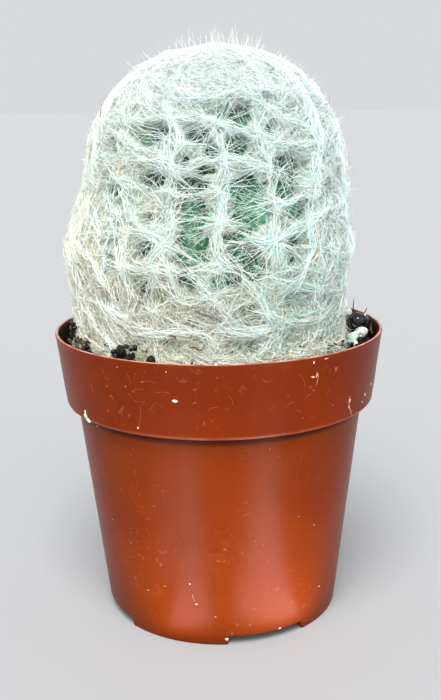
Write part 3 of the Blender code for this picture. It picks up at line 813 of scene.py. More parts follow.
def chipped(co, planes, seed):
    """How far each point of a ball draws in to lie on the faces of a broken, flat-sided grain."""
    chance = np.random.default_rng(seed)
    facing = chance.normal(0.0, 1.0, (planes, 3))
    facing /= np.linalg.norm(facing, axis=1, keepdims=True)
    reach = chance.uniform(0.66, 0.98, planes)
    along = co / np.linalg.norm(co, axis=1, keepdims=True)
    return np.minimum((reach / np.maximum(along @ facing.T, 1e-3)).min(axis=1), 1.0)


def rough_lump(bm, middle, size, turn, lumpiness, seed, finer=2, index=0, planes=0):
    """Adds one rough grain to the mesh, flat-sided if it has planes."""
    made = bmesh.ops.create_icosphere(bm, subdivisions=finer, radius=0.5)["verts"]
    co = np.array([vert.co for vert in made])
    spot = co + seed * 7.31
    if planes:
        grow = chipped(co, planes, seed) * (1.0 + 0.10 * soft_noise(spot, 0.30, seed))
    else:
        grow = 1.0 + lumpiness * soft_noise(spot, 0.62, seed)
        grow = grow + 0.45 * lumpiness * soft_noise(spot, 0.23, seed + 1)
        grow = grow + 0.2 * lumpiness * soft_noise(spot, 0.10, seed + 2)
        grow = grow / (1.0 + 0.6 * lumpiness)
    co = co * grow[:, None] * np.array(size)
    c, s = math.cos(turn), math.sin(turn)
    co = co @ np.array([[c, s, 0.0], [-s, c, 0.0], [0.0, 0.0, 1.0]])
    for vert, place in zip(made, co + np.array(middle)):
        vert.co = place
    for face in {face for vert in made for face in vert.link_faces}:
        face.material_index = index
        face.smooth = not planes


def make_grains(stuff):
    """The larger loose bits, each a cluster of rough pieces that fills the place of its solid."""
    for number, name in enumerate(sorted(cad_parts)):
        if not name.startswith(("perlite", "bark")):
            continue
        low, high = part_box(name)
        middle, size = (low + high) / 2.0, high - low
        white, glossy = name.startswith("perlite"), name == "bark_lump"
        planes = 12 if glossy else 0
        bm = bmesh.new()
        rough_lump(bm, middle, size * (1.0 if white or glossy else 0.86), 0.0,
                   0.24 if white else 0.42, 40 + number, 4, planes=planes)
        for i in range(6 if white else 11):
            aside = [draw.uniform(-0.34, 0.34) * side for side in size]
            share = draw.uniform(0.22, 0.46) if white else draw.uniform(0.20, 0.50)
            part = [share * side * draw.uniform(0.6, 1.3) for side in size]
            place = [centre + step for centre, step in zip(middle, aside)]
            place[2] = max(place[2], low.z + 0.3 * part[2])
            rough_lump(bm, place, part, draw.uniform(0.0, 3.0), 0.30 if white else 0.55,
                       90 * number + i, 3, planes=planes)
        co = np.array([vert.co for vert in bm.verts])
        least, most = co.min(axis=0), co.max(axis=0)
        co = np.array(low) + (co - least) / (most - least) * np.array(size)
        for vert, place in zip(bm.verts, co):
            vert.co = place
        material = "perlite" if white else "wet_bark" if glossy else "bark"
        material = "green_perlite" if name == "perlite_1" else material
        made = object_from(bm, "visual_" + name, [stuff[material]])
        finish_piece(made, name)


def make_crumbs(stuff):
    """Small crumbs of bark, peat and perlite strewn over the ring of soil."""
    bm = bmesh.new()
    for i in range(300):
        turn = any_turn()
        hem = 0.0266 + LEAN_X * math.sin(turn)
        big = draw.random() ** 3
        size = mix(0.0006, 0.0019, big) * draw.uniform(0.6, 1.3, 3)
        radius = draw.uniform(hem - 0.0004, RING_OUTSIDE - 0.0001 - 0.5 * max(size))
        x, y = math.sin(turn) * radius, -math.cos(turn) * radius
        white = draw.random() < (0.03 if y < -0.012 else 0.10)
        rough_lump(bm, (x, y, soil_under(x, y) + 0.25 * size[2]), size, draw.uniform(0.0, math.pi),
                   0.5, 400 + i, 2 if big > 0.25 else 1, 1 if white else 0)
    crumbs = object_from(bm, "soil_crumbs", [stuff["bark"], stuff["perlite"]])
    finish_piece(crumbs)


# ---------- the green body

def stem_radius(turn, height):
    radius = np.interp(height, STEM_HEIGHTS, STEM_RADII)
    ribbed = smooth_step(0.003, 0.018, radius) * smooth_step(0.046, 0.058, height)
    return radius - RIB_DEPTH * ribbed * (1.0 - crest_share(turn))


def make_stem(areoles, material):
    """The ribbed body, buried to its foot, with a swelling under each areole."""
    turns = FIRST_RIB + all_round(176)
    heights = np.concatenate([np.linspace(0.0300, 0.0560, 14),
                              np.linspace(0.0570, STEM_TIP - 0.0001, 70)])
    turn, height = np.meshgrid(turns, heights)
    radius = stem_radius(turn, height)
    swell = np.zeros_like(radius)
    for areole_turn, distance in areoles:
        up = height - WOOL.height_at(distance) + 0.0022
        near = (near_turn(turn, areole_turn) * radius / 0.0026) ** 2 + (up / 0.0026) ** 2
        swell = np.maximum(swell, np.exp(-near))
    shown = smooth_step(0.056, 0.060, height) * smooth_step(0.002, 0.010, radius)
    radius = radius + (0.0007 * swell - 0.00045) * shown
    points = round_axis(turn, radius, height)
    points[..., 0] += lean(height)
    stem = skin("stem_body", points, (LEAN_X, 0.0, STEM_FOOT), (0.0, 0.0, STEM_TIP), [material])
    add_layer(stem, "valley", 1.0 - crest_share(turn))
    return finish_piece(stem, "stem")


# ---------- wool

# Windows in the wool as seen from the front: middle, half width and half height in the picture,
# and how deep each one goes (1 shows the green body)
WINDOWS = (
    (236, 110, 15, 9, 1.00), (150, 132, 14, 9, 0.85), (198, 132, 12, 8, 0.90),
    (236, 144, 9, 7, 0.95), (290, 166, 12, 9, 1.00), (248, 188, 16, 9, 1.00),
    (190, 186, 12, 6, 0.95), (204, 170, 8, 4, 0.90), (292, 186, 8, 9, 1.00), (110, 148, 4, 7, 0.85),
    (182, 160, 5, 6, 0.80), (324, 186, 4, 9, 0.80), (150, 180, 10, 8, 0.85), (266, 99, 5, 5, 0.85),
    (274, 126, 6, 5, 0.80), (110, 190, 6, 5, 0.85), (194, 218, 13, 6, 1.00),
    (252, 211, 15, 10, 1.00), (192, 238, 13, 8, 1.00), (246, 254, 13, 8, 1.00),
    (258, 272, 8, 9, 0.95), (190, 260, 13, 6, 1.00), (188, 284, 10, 7, 0.85),
    (230, 282, 13, 8, 0.90), (298, 256, 9, 8, 0.90), (300, 208, 8, 6, 1.00), (144, 248, 9, 9, 0.86),
    (108, 240, 6, 6, 0.82), (248, 314, 9, 6, 0.60), (117, 222, 4, 4, 0.85), (298, 240, 8, 5, 0.80),
    (108, 296, 5, 6, 0.80), (322, 236, 6, 8, 0.62), (190, 202, 10, 5, 0.95),
    (140, 290, 8, 10, 0.66), (300, 300, 10, 8, 0.35), (219, 292, 7, 5, 0.80),
    (212, 152, 8, 6, 0.80), (107, 264, 5, 7, 0.80), (330, 150, 5, 8, 0.45), (294, 109, 6, 6, 0.50),
    (120, 202, 5, 4, 0.80), (147, 218, 5, 4, 0.80), (158, 297, 8, 6, 0.58), (134, 307, 5, 5, 0.60),
    (96, 277, 4, 4, 0.70), (246, 231, 9, 4, 0.90), (232, 237, 7, 4, 0.85),
)
# Long bundles of hair as seen from the front: across and down in the picture, point by point
BUNDLES = (
    (84, 122, 108, 124, 136, 121, 172, 118, 200, 118, 226, 126, 260, 138, 286, 144, 318, 144),
    (196, 96, 208, 98, 240, 92, 270, 92, 300, 94, 324, 106),
    (112, 132, 126, 138, 144, 150, 164, 157, 172, 166), (90, 142, 112, 142, 126, 138),
    (250, 96, 254, 122, 262, 142, 268, 166, 270, 190, 272, 214, 272, 242),
    (172, 162, 178, 182, 180, 204, 172, 226), (200, 118, 214, 134, 226, 156),
    (226, 158, 228, 182, 224, 200, 220, 220), (318, 144, 314, 170, 310, 200, 310, 226),
    (252, 98, 276, 116, 300, 126, 320, 142), (98, 168, 120, 158, 146, 160, 172, 166),
    (86, 190, 110, 180, 140, 184, 166, 192), (172, 118, 180, 134, 180, 150, 172, 162),
    (160, 230, 178, 246, 200, 264, 224, 270, 246, 282, 260, 302, 270, 316),
    (74, 232, 90, 258, 104, 274, 112, 292, 118, 310, 132, 326, 152, 332, 182, 330),
    (118, 264, 140, 269, 160, 268, 178, 275), (122, 264, 130, 290, 134, 302, 128, 320),
    (128, 202, 140, 226, 156, 242, 172, 252), (110, 196, 118, 218, 126, 238, 122, 262),
    (78, 238, 106, 234, 140, 232, 158, 240), (170, 274, 180, 294, 184, 302, 200, 298, 226, 290),
    (204, 286, 220, 304, 228, 318, 248, 332, 264, 330), (270, 250, 264, 276, 260, 298, 268, 320),
    (236, 258, 252, 274, 262, 292), (284, 283, 306, 286, 326, 291, 336, 292),
    (300, 278, 306, 262, 312, 246, 310, 226), (272, 242, 292, 230, 310, 220, 324, 208),
    (272, 242, 288, 250, 304, 264, 322, 272), (268, 314, 290, 322, 310, 318, 332, 308),
    (228, 332, 250, 334, 266, 328), (152, 333, 180, 334, 204, 334, 212, 342),
    (90, 312, 106, 336, 116, 350), (80, 294, 98, 302, 114, 312), (172, 222, 170, 240, 158, 258),
    (220, 220, 216, 242, 220, 256, 226, 270), (222, 220, 236, 226, 252, 234, 270, 242),
    (168, 226, 186, 222, 204, 220, 220, 219), (226, 158, 248, 162, 268, 168),
    (226, 158, 204, 160, 184, 168, 174, 166), (268, 168, 284, 178, 304, 182, 316, 178),
    (164, 190, 186, 196, 206, 200, 221, 193), (221, 193, 236, 200, 256, 202, 272, 206),
    (272, 206, 286, 204, 300, 196, 312, 196), (152, 80, 180, 92, 206, 98),
    (110, 96, 136, 104, 172, 118), (240, 60, 256, 76, 262, 92),
    (286, 76, 300, 92, 312, 112, 320, 142), (322, 170, 336, 184, 340, 206),
    (318, 226, 330, 246, 340, 262), (84, 206, 96, 222, 104, 236), (196, 132, 212, 120, 232, 100),
)
HALF_WIDTHS = {
    # the least and the greatest of each kind of hair
    "veil": (0.000020, 0.000034),
    "fine_fuzz": (0.000022, 0.000034),
    "fuzz": (0.000031, 0.000050),
    "star": (0.000034, 0.000054),
    "across_window": (0.000032, 0.000050),
    "bundle": (0.000033, 0.000055),
    "standing": (0.000026, 0.000042),
    "long_standing": (0.000026, 0.000038),
    "crown_spine": (0.000030, 0.000048),
    "crown": (0.000026, 0.000042),
    "hem": (0.000036, 0.000058),
}
STRAW_SPINE = 0.000050


def half_widths(kind, hairs):
    return draw.uniform(*HALF_WIDTHS[kind], hairs)


def column(low, high, hairs):
    return draw.uniform(low, high, hairs)[:, None]


def smooth_line(points, count):
    """A smooth curve through the points, at even steps, and its length."""
    points = np.asarray(points, float)
    ends = np.concatenate([[2 * points[0] - points[1]], points, [2 * points[-1] - points[-2]]])
    t = np.linspace(0.0, 1.0, 12, endpoint=False)[:, None]
    fine = [curve_through(*ends[i : i + 4], t) for i in range(len(points) - 1)]
    fine = np.concatenate(fine + [points[-1:]])
    steps = np.linalg.norm(np.diff(fine, axis=0), axis=1)
    reach = np.concatenate([[0.0], np.cumsum(steps)])
    places = np.linspace(0.0, reach[-1], count)
    return np.stack([np.interp(places, reach, fine[:, i]) for i in range(2)], axis=1), reach[-1]


def unrolled(points):
    """A bundle's points as lengths round and up the wool."""
    turn, distance = on_wool(*np.reshape(points, (-1, 2)).T)
    return np.stack([turn * UNROLL, distance], axis=1)


def window_ellipses():
    """(turn, distance, half turn, half distance, depth) of each window, all round the plant."""
    across, down, wide, high, depth = np.array(WINDOWS, float).T
    turn, distance = on_wool(across, down)
    round_it = on_wool(across + wide, down)[0] - on_wool(across - wide, down)[0]
    up_it = on_wool(across, down - high)[1] - on_wool(across, down + high)[1]
    grow = np.where(depth > 0.93, 1.45, 1.28)
    half_turn = np.minimum(grow * np.abs(round_it) / 2.0, 0.28)
    made = list(zip(turn, distance, half_turn, (grow - 0.03) * np.abs(up_it) / 2.0, depth))

    def nearest(place, stretch):
        return min(abs(near_turn(place[0], other[0])) * 0.026 + abs(place[1] - other[1]) * stretch
                   for other in made)

    # between the ribs on the sides that the photograph doesn't show
    for _ in range(900):
        middle = draw.uniform(math.radians(72.0), math.radians(288.0))
        valley = FIRST_RIB + (round((middle - FIRST_RIB) / RIB_TURN - 0.5) + 0.5) * RIB_TURN
        place = (valley + draw.normal(0.0, 0.055), draw.uniform(0.06, 0.80) * WOOL.length)
        if nearest(place, 1.4) < draw.uniform(0.0065, 0.0105):
            continue
        half = draw.uniform(0.0012, 0.0036)
        height = 0.55 * half * draw.uniform(0.7, 1.7)
        low = float(smooth_step(0.30, 0.0, place[1] / WOOL.length))
        depth = draw.choice([0.45, 0.6, 0.75, 0.9, 1.0]) - 0.25 * low
        made.append((*place, half / float(WOOL.radius_at(place[1])), height, depth))

    # small shallow ones all over, clear of the bundles
    lines = np.concatenate([smooth_line(unrolled(points), 30)[0] for points in BUNDLES])
    small = 0
    while small < 150:
        place = (any_turn(), draw.uniform(0.03, 0.80) * WOOL.length)
        round_line = near_turn(place[0], lines[:, 0] / UNROLL) * UNROLL
        off = np.hypot(round_line, place[1] - lines[:, 1])
        if nearest(place, 1.0) < 0.0032 or off.min() < 0.0012:
            continue
        half = draw.uniform(0.0006, 0.0014)
        made.append((*place, half / float(WOOL.radius_at(place[1])),
                     half * draw.uniform(0.6, 1.3), draw.uniform(0.30, 0.62)))
        small += 1
    return np.array(made)


FELT_TURNS, FELT_ROWS = 248, 140
FIELD_TURNS, FIELD_ROWS = 1600, 760
window_fields = {}


def window_field(windows, grow):
    """The depth of the windows on a fine grid of turn and distance."""
    if grow in window_fields:
        return window_fields[grow]
    turns = all_round(FIELD_TURNS)
    distances = np.linspace(0.0, WOOL.length, FIELD_ROWS)
    turn, distance = np.meshgrid(turns, distances)
    points = WOOL.place(turn, distance, 0.0)
    warp = 0.30 * soft_noise(points, 0.0016, 11) + 0.18 * soft_noise(points, 0.0006, 12)
    field = np.zeros(turn.shape)
    for middle, along, half_turn, half_distance, depth in windows:
        rows = np.abs(distances - along) < 1.7 * half_distance * grow
        columns = np.abs(near_turn(turns, middle)) < 1.7 * half_turn * grow
        block = np.ix_(rows, columns)
        rho = np.hypot(near_turn(turn[block], middle) / (half_turn * grow),
                       (distance[block] - along) / (half_distance * grow))
        share = 1.0 - smooth_step(0.84, 1.10, rho + warp[block])
        field[block] = np.maximum(field[block], depth * share)
    window_fields[grow] = field
    return field


def window_depth(windows, turn, distance, grow=1.0):
    """0 in closed wool, and up to each window's depth inside it."""
    turn, distance = WOOL.fold(turn, distance)
    across = np.rint(turn / (2.0 * math.pi) * FIELD_TURNS).astype(int) % FIELD_TURNS
    row = np.rint(distance / WOOL.length * (FIELD_ROWS - 1)).astype(int)
    return window_field(windows, grow)[np.clip(row, 0, FIELD_ROWS - 1), across]


def relief(turn, distance):
    """How far the closed wool stands above its outline: high on the ribs, low between them."""
    turn, distance = WOOL.fold(turn, distance)
    points = WOOL.place(turn, distance, 0.0)
    fade = smooth_step(0.002, 0.014, WOOL.radius_at(distance))
    made = -0.0008 * fade * (1.0 - crest_share(turn))
    made = made + 0.00045 * soft_noise(points, 0.0042, 21)
    return made + 0.00022 * soft_noise(points, 0.0015, 22)


def mint_share(windows, turn, distance):
    """Where the wool is tinted mint: near the windows, a painted glow from the green stem, and low
    on the right.
    """
    near = window_depth(windows, turn, distance, 2.2)
    turn, distance = WOOL.fold(turn, distance)
    right = np.exp(-(near_turn(turn, 0.62) / 0.40) ** 2)
    right = right * np.exp(-((distance - 0.010) / 0.010) ** 2)
    return np.clip(0.55 * near * smooth_step(0.012, 0.020, distance) + 0.8 * right, 0.0, 1.0)


def make_felt(windows, material):
    """The closed coat of matted wool, sunk away where the windows are."""
    distances = np.linspace(0.0, 0.995, FELT_ROWS) * WOOL.length
    turn, distance = np.meshgrid(FIRST_RIB + all_round(FELT_TURNS), distances)
    depth = window_depth(windows, turn, distance)
    height = WOOL.height_at(distance)
    room = WOOL.radius_at(distance) - np.interp(height, STEM_HEIGHTS, STEM_RADII)
    lift = mix(relief(turn, distance) - 0.00035, -room - 0.0008, depth)
    lift[0] = np.minimum(lift[0], -0.0002)
    points = WOOL.place(turn, distance, lift)
    points[..., 2] = np.maximum(points[..., 2], SOIL_LEVEL + 0.0002)
    felt = skin("wool_felt", points, (LEAN_X, 0.0, SOIL_LEVEL + 0.0002),
                WOOL.place(0.0, WOOL.length, 0.0), [material])
    # painted shade for the felt's pits and folds, read by its material
    fold_shade = smooth_step(0.0, -0.0012, relief(turn, distance))
    add_layer(felt, "hollow_shade", np.clip(depth + 0.35 * fold_shade, 0.0, 1.0))
    add_layer(felt, "mint", mint_share(windows, turn, distance))
    space = [(0.0, STEM_TIP + 0.0002)]
    space += [(radius + 0.0001, height) for radius, height in reversed(STEM_OUTLINE[3:])]
    cut(felt, [leaning(turned("space", space + [(0.0, 0.0500)], 96))])
    felt.data.shade_smooth()
    return finish_piece(felt, "wool")


class Hairs:
    """Gathers hairs, then makes them into a mesh of closed, three-sided, tapering hairs."""

    def __init__(self, name):
        self.name = name
        self.verts, self.faces, self.shades = [], [], []
        self.count = 0

    def add(self, paths, radii, shades, keep=None):
        """paths: (hairs, points, 3); radii, shades and keep: one value for each hair."""
        if keep is not None:
            paths, radii, shades = paths[keep], radii[keep], shades[keep]
        hairs, steps, _ = paths.shape
        if not hairs:
            return
        along = np.gradient(paths, axis=1)
        along /= np.linalg.norm(along, axis=2, keepdims=True) + 1e-12
        out = paths * np.array([1.0, 1.0, 0.25]) - np.array([0.0, 0.0, 0.02])
        side = np.cross(along, out)
        side /= np.linalg.norm(side, axis=2, keepdims=True) + 1e-12
        up = np.cross(side, along)
        taper = np.interp(np.arange(steps) / (steps - 1), [0.0, 0.3, 1.0], [0.85, 1.0, 0.35])
        width = (radii[:, None] * taper[None, :])[..., None]
        rings = [paths + width * (math.cos(angle) * side + math.sin(angle) * up)
                 for angle in (0.5 * math.pi, 7.0 * math.pi / 6.0, 11.0 * math.pi / 6.0)]
        rings = np.stack(rings, axis=2)[:, :-1]
        block = np.concatenate([rings.reshape(hairs, -1, 3), paths[:, -1:]], axis=1)
        face = [(0, 1, 2)]
        for a in range(3 * (steps - 2)):
            b = a + 1 if a % 3 < 2 else a - 2
            face += [(a, b + 3, b), (a, a + 3, b + 3)]
        tip = 3 * (steps - 1)
        face += [(tip - 3 + (i + 1) % 3, tip - 3 + i, tip) for i in range(3)]
        starts = self.count + np.arange(hairs) * block.shape[1]
        self.verts.append(block.reshape(-1, 3))
        self.faces.append((np.array(face)[None] + starts[:, None, None]).reshape(-1, 3))
        self.shades.append(np.repeat(shades, len(face)))
        self.count += hairs * block.shape[1]

    def lay(self, turns, distances, lift, radii, shades, keep=True):
        """Adds hairs that lie over the wool, but none that would meet the soil or the rim."""
        paths = WOOL.place(turns, distances, lift)
        self.add(paths, radii, shades, keep & keep_off(paths))

    def make(self, materials):
        verts, faces = np.concatenate(self.verts), np.concatenate(self.faces)
        made = mesh_from(self.name, verts, faces, materials, np.concatenate(self.shades))
        return finish_piece(made)


def walk(turn, distance, angle, length, steps, curl, wobble):
    """Hairs that crawl over the wool: (turn, distance) at each of their points."""
    hairs = len(turn)
    bend = curl * draw.normal(0.0, 1.0, hairs)
    turns, distances = [turn], [distance]
    radius = np.maximum(WOOL.radius_at(distance), 0.0035)
    stride = length / (steps - 1)
    for _ in range(1, steps):
        angle = angle + bend / (steps - 1) + wobble * draw.normal(0.0, 1.0, hairs)
        turns.append(turns[-1] + np.sin(angle) * stride / radius)
        distances.append(distances[-1] + np.cos(angle) * stride)
    return np.stack(turns, axis=1), np.stack(distances, axis=1)


def scatter(count):
    """Places spread evenly over the wool."""
    distance = draw.uniform(0.0, WOOL.length, 3 * count)
    keep = draw.random(3 * count) < np.maximum(WOOL.radius_at(distance), 0.002) / WIDEST
    distance = distance[keep][:count]
    return any_turn(len(distance)), distance


def keep_off(paths):
    """Hairs that stay over the soil and clear of the pot's rim."""
    radius = np.hypot(paths[..., 0], paths[..., 1])
    low = paths[..., 2] < POT_HEIGHT + 0.0006
    bad = low & (radius > inner_radius(POT_HEIGHT) - 0.0004)
    return ~(bad | (paths[..., 2] < SOIL_LEVEL + 0.0002)).any(axis=1)


def clear_windows(windows, turns, distances, share):
    """Leaves out this share of the hairs that cross the windows."""
    depth = window_depth(windows, turns, distances)[:, 1:-1].max(axis=1)
    return draw.random(len(turns)) > share * smooth_step(0.3, 0.8, depth)


def choose_shades(turn, distance, windows, bright=0.0):
    """A shade of wool for each hair, by where it lies."""
    count = len(turn)
    left = -np.sin(turn)
    cream = 0.90 - 1.62 * (distance / WOOL.length) + 0.48 * left
    # more cream on the flanks: painted shade that dims the outline, where the hairs are seen
    # edge-on
    cream = cream + 0.12 * smooth_step(0.80, 1.0, np.abs(left))
    cream = np.clip(cream, 0.04, 0.9) * (1.0 - 0.6 * bright)
    # mint hairs near the windows: painted glow from the green stem
    mint = (0.27 - 0.20 * np.clip(left, -1.0, 0.0)) * mint_share(windows, turn, distance)
    made = np.full(count, WHITE)
    made[draw.random(count) < 0.35 - 0.28 * left] = COOL
    pick = draw.random(count)
    made[pick < cream] = CREAM
    made[pick < 0.29 * cream] = BEIGE
    made[pick < (0.18 - 0.16 * bright) * cream] = GREY
    made[draw.random(count) < mint] = MINT
    made[draw.random(count) < 0.02 * (1.0 - bright)] = STRAW
    return made


def crown_share(distance):
    """1 on the flanks and less at the crown, where the hairs lie close."""
    radius = WOOL.radius_at(np.clip(distance, 0.0, WOOL.length))
    return 0.40 + 0.60 * smooth_step(0.001, 0.014, radius)


def make_fuzz(windows, materials):
    """The mat of fine curly hair that lies all over the wool."""
    pieces = ((6600, 5, "fuzz"), (8600, 4, "fuzz"), (4800, 5, "fuzz"), (6400, 4, "fine_fuzz"))
    for piece, (count, points, kind) in enumerate(pieces, 1):
        turn, distance = scatter(count)
        hairs = len(turn)
        angle = any_turn(hairs)
        length = draw.uniform(0.0026, 0.0074, hairs) * (0.8 if points == 4 else 1.0)
        turns, distances = walk(turn, distance, angle, length, points, 1.5, 0.45)
        t = steps_along(points)
        high, end = column(0.0001, 0.0009, hairs), column(-0.0001, 0.0011, hairs)
        arch = (high * np.sin(math.pi * t) + end * t ** 2) * crown_share(distances)
        lift = -0.0005 * (1.0 - t) ** 3 + arch + relief(turns, distances) * 0.85
        depth = window_depth(windows, turns, distances, 1.12)[:, 1:].max(axis=1)
        keep = draw.random(hairs) > 0.97 * smooth_step(0.22, 0.75, depth)
        shades = choose_shades(turn, distance, windows)
        made = Hairs(f"wool_fuzz_{piece}")
        made.lay(turns, distances, lift, half_widths(kind, hairs), shades, keep)
        made.make(materials)


def ways_to(areoles, turn, distance, radius):
    """How far round and up each areole lies from a place on the wool, and how far in all."""
    off = np.stack([near_turn(areoles[:, 0], turn) * radius, areoles[:, 1] - distance], axis=1)
    return off, np.hypot(off[:, 0], off[:, 1])


def make_stars(windows, materials, areoles):
    """Hairs that burst out of each areole and across the windows, with a few straw spines."""
    made = Hairs("wool_stars")
    turn, distance = np.repeat(areoles, 17, axis=0).T
    hairs = len(turn)
    radius = np.maximum(WOOL.radius_at(distance), 0.004)
    turn = turn + draw.normal(0.0, 0.00045, hairs) / radius
    distance = distance + draw.normal(0.0, 0.00045, hairs)
    angle, length = any_turn(hairs), draw.uniform(0.0028, 0.0080, hairs)
    turns, distances = walk(turn, distance, angle, length, 4, 0.45, 0.10)
    t = steps_along(4)
    arch = column(0.0002, 0.0012, hairs) * np.sin(0.8 * math.pi * t) * crown_share(distances)
    lift = 0.0001 + arch + relief(turns, distances) * 0.7
    keep = clear_windows(windows, turns, distances, 0.92)
    shades = choose_shades(turn, distance, windows, 0.7)
    made.lay(turns, distances, lift, half_widths("star", hairs), shades, keep)

    # across each window, from the two areoles nearest to it
    for middle, along, half_turn, half_distance, depth in windows:
        if half_distance < 0.0009:
            continue
        radius = float(WOOL.radius_at(along))
        off, far = ways_to(areoles, middle, along, radius)
        for i in np.argsort(far)[:2]:
            hairs = 6 if depth > 0.7 else 4
            angle = math.atan2(-off[i, 0], -off[i, 1]) + draw.normal(0.0, 0.42, hairs)
            length = (far[i] + 0.7 * half_turn * radius) * draw.uniform(0.8, 1.4, hairs)
            start = areoles[i, 0] + draw.normal(0.0, 0.00035, hairs) / radius
            foot = areoles[i, 1] + draw.normal(0.0, 0.00035, hairs)
            turns, distances = walk(start, foot, angle, length, 4, 0.30, 0.05)
            lift = 0.0002 + column(-0.0002, 0.0006, hairs) * np.sin(math.pi * t)
            lift = lift + 0.5 * relief(turns, distances)
            shades = draw.choice([WHITE, COOL], hairs)
            made.lay(turns, distances, lift, half_widths("across_window", hairs), shades)

    spines = 150
    turn, distance = areoles[draw.integers(0, len(areoles), spines)].T
    angle, length = any_turn(spines), draw.uniform(0.0028, 0.0062, spines)
    turns, distances = walk(turn, distance, angle, length, 4, 0.1, 0.02)
    rise = t * (length * draw.uniform(0.12, 0.45, spines))[:, None]
    keep = (distance < 0.80 * WOOL.length) | (draw.random(spines) < 0.25)
    made.lay(turns, distances, 0.0001 + rise, np.full(spines, STRAW_SPINE),
             np.full(spines, STRAW), keep)
    made.make(materials)


def make_veil(windows, materials):
    """Fine threads deep in the windows, close over the green."""
    made = Hairs("wool_veil")
    for middle, along, half_turn, half_distance, depth in windows:
        radius = float(WOOL.radius_at(along))
        hairs = 4 + int(1.8e6 * half_turn * radius * half_distance * depth)
        turn = middle + half_turn * draw.normal(0.0, 0.5, hairs)
        distance = along + half_distance * draw.normal(0.0, 0.5, hairs)
        angle = 0.5 * math.pi * draw.choice([-1.0, 1.0], hairs) + draw.normal(0.0, 0.8, hairs)
        length = draw.uniform(0.0014, 0.0042, hairs)
        turns, distances = walk(turn, distance, angle, length, 4, 0.9, 0.2)
        lift = column(-0.0013, -0.0001, hairs) + draw.normal(0.0, 0.0001, (hairs, 4))
        shades = choose_shades(turn, distance, windows, 0.8)
        made.lay(turns, distances, lift, half_widths("veil", hairs), shades)
    made.make(materials)


def network(areoles):
    """Lines from areole to areole on the sides that the photograph doesn't show."""
    lines = []
    radius = 0.024
    for turn, distance in areoles:
        if abs(near_turn(turn, 0.0)) < math.radians(62.0):
            continue
        off, far = ways_to(areoles, turn, distance, radius)
        near = [j for j in np.argsort(far)[1:9] if far[j] < 0.0135]
        draw.shuffle(near)
        for j in near[: draw.integers(1, 3)]:
            other = (turn + off[j, 0] / radius, areoles[j, 1])
            middle = (0.5 * (turn + other[0]) + draw.normal(0.0, 0.035),
                      0.5 * (distance + other[1]) + draw.normal(0.0, 0.0009))
            lines.append([(turn, distance), middle, other])
    return lines


def tufts(areoles):
    """Short lines in which each areole's hair flows away from it."""
    lines = []
    for start in np.repeat(areoles, 2, axis=0):
        radius = max(float(WOOL.radius_at(start[1])), 0.005)
        angle, bend = any_turn(), draw.normal(0.0, 0.5)
        line = [start]
        for _ in range(2):
            stride = draw.uniform(0.0025, 0.0045)
            line.append((line[-1][0] + math.sin(angle) * stride / radius,
                         line[-1][1] + math.cos(angle) * stride))
            angle += bend
        lines.append(line)
    return lines


def add_bundle(made, line, hairs, spread, windows, bright, steps=5, clear=0.84):
    """Hairs that flow together along an unrolled line."""
    flat, length = smooth_line(line, 80)
    centre = draw.uniform(-0.0015, length + 0.0015, hairs)
    reach = column(0.0026, 0.0084, hairs)
    t = steps_along(steps)
    places = centre[:, None] + (t - 0.5) * reach
    ahead = np.gradient(flat, axis=0)
    ahead /= np.linalg.norm(ahead, axis=1, keepdims=True) + 1e-12
    grid = np.linspace(0.0, length, 80)
    x, y, ax, ay = (np.interp(places, grid, values) for values in (*flat.T, *ahead.T))
    beyond = places - np.clip(places, 0.0, length)
    x, y = x + ax * beyond, y + ay * beyond
    swing = 0.45 * spread * np.sin(centre / 0.0016 + draw.uniform(0.0, 6.0))
    swell = 1.0 + 0.55 * np.sin(centre / 0.0027 + draw.uniform(0.0, 6.0))
    aside = (swing + spread * swell * draw.normal(0.0, 1.0, hairs))[:, None]
    slant = np.tan(np.clip(draw.normal(0.0, 0.20, hairs), -0.6, 0.6))[:, None] * (t - 0.5) * reach
    curl = draw.normal(0.0, 0.00035, hairs)[:, None] * np.sin(math.pi * t)
    off = aside + slant + (curl + draw.normal(0.0, 0.00010, (hairs, steps)))
    turns, distances = (x - ay * off) / UNROLL, y + ax * off
    high = column(0.0002, 0.0012, hairs) * crown_share(distances)
    lift = high * (1.0 - 0.75 * (2.0 * t - 1.0) ** 4) + 0.6 * relief(turns, distances)
    keep = (distances.max(axis=1) < WOOL.length + 0.006) & (distances.min(axis=1) > 0.0)
    keep &= clear_windows(windows, turns, distances, clear)
    half = steps // 2
    shades = choose_shades(turns[:, half], distances[:, half], windows, bright)
    made.lay(turns, distances, lift, half_widths("bundle", hairs), shades, keep)


def make_bundles(windows, materials, areoles):
    """The ropes of the photograph, their like on the other sides, and wisps from each areole."""
    front = Hairs("wool_bundles_front")
    for points in BUNDLES:
        line = unrolled(points)
        length = np.linalg.norm(np.diff(line, axis=0), axis=1).sum()
        spread = draw.uniform(0.00030, 0.00056)
        facing = float(smooth_step(0.25, 0.75, np.cos(line[:, 0] / UNROLL).mean()))
        hairs = int((22 + 4500 * length) * mix(0.40, 1.0, facing))
        add_bundle(front, line, hairs, spread, windows, 0.95)
    front.make(materials)
    scale = (UNROLL, 1.0)
    back = Hairs("wool_bundles_back")
    for line in network(areoles):
        side = abs(abs(near_turn(line[0][0], 0.0)) - 0.5 * math.pi) < 0.5
        spread = draw.uniform(0.0007, 0.0010) if side else draw.uniform(0.0004, 0.0007)
        add_bundle(back, np.multiply(line, scale), 13 if side else 17, spread, windows, 0.75)
    back.make(materials)
    wisps = Hairs("wool_tufts")
    for line in tufts(areoles):
        add_bundle(wisps, np.multiply(line, scale), 10, 0.00028, windows, 0.6, 4, 0.85)
    wisps.make(materials)


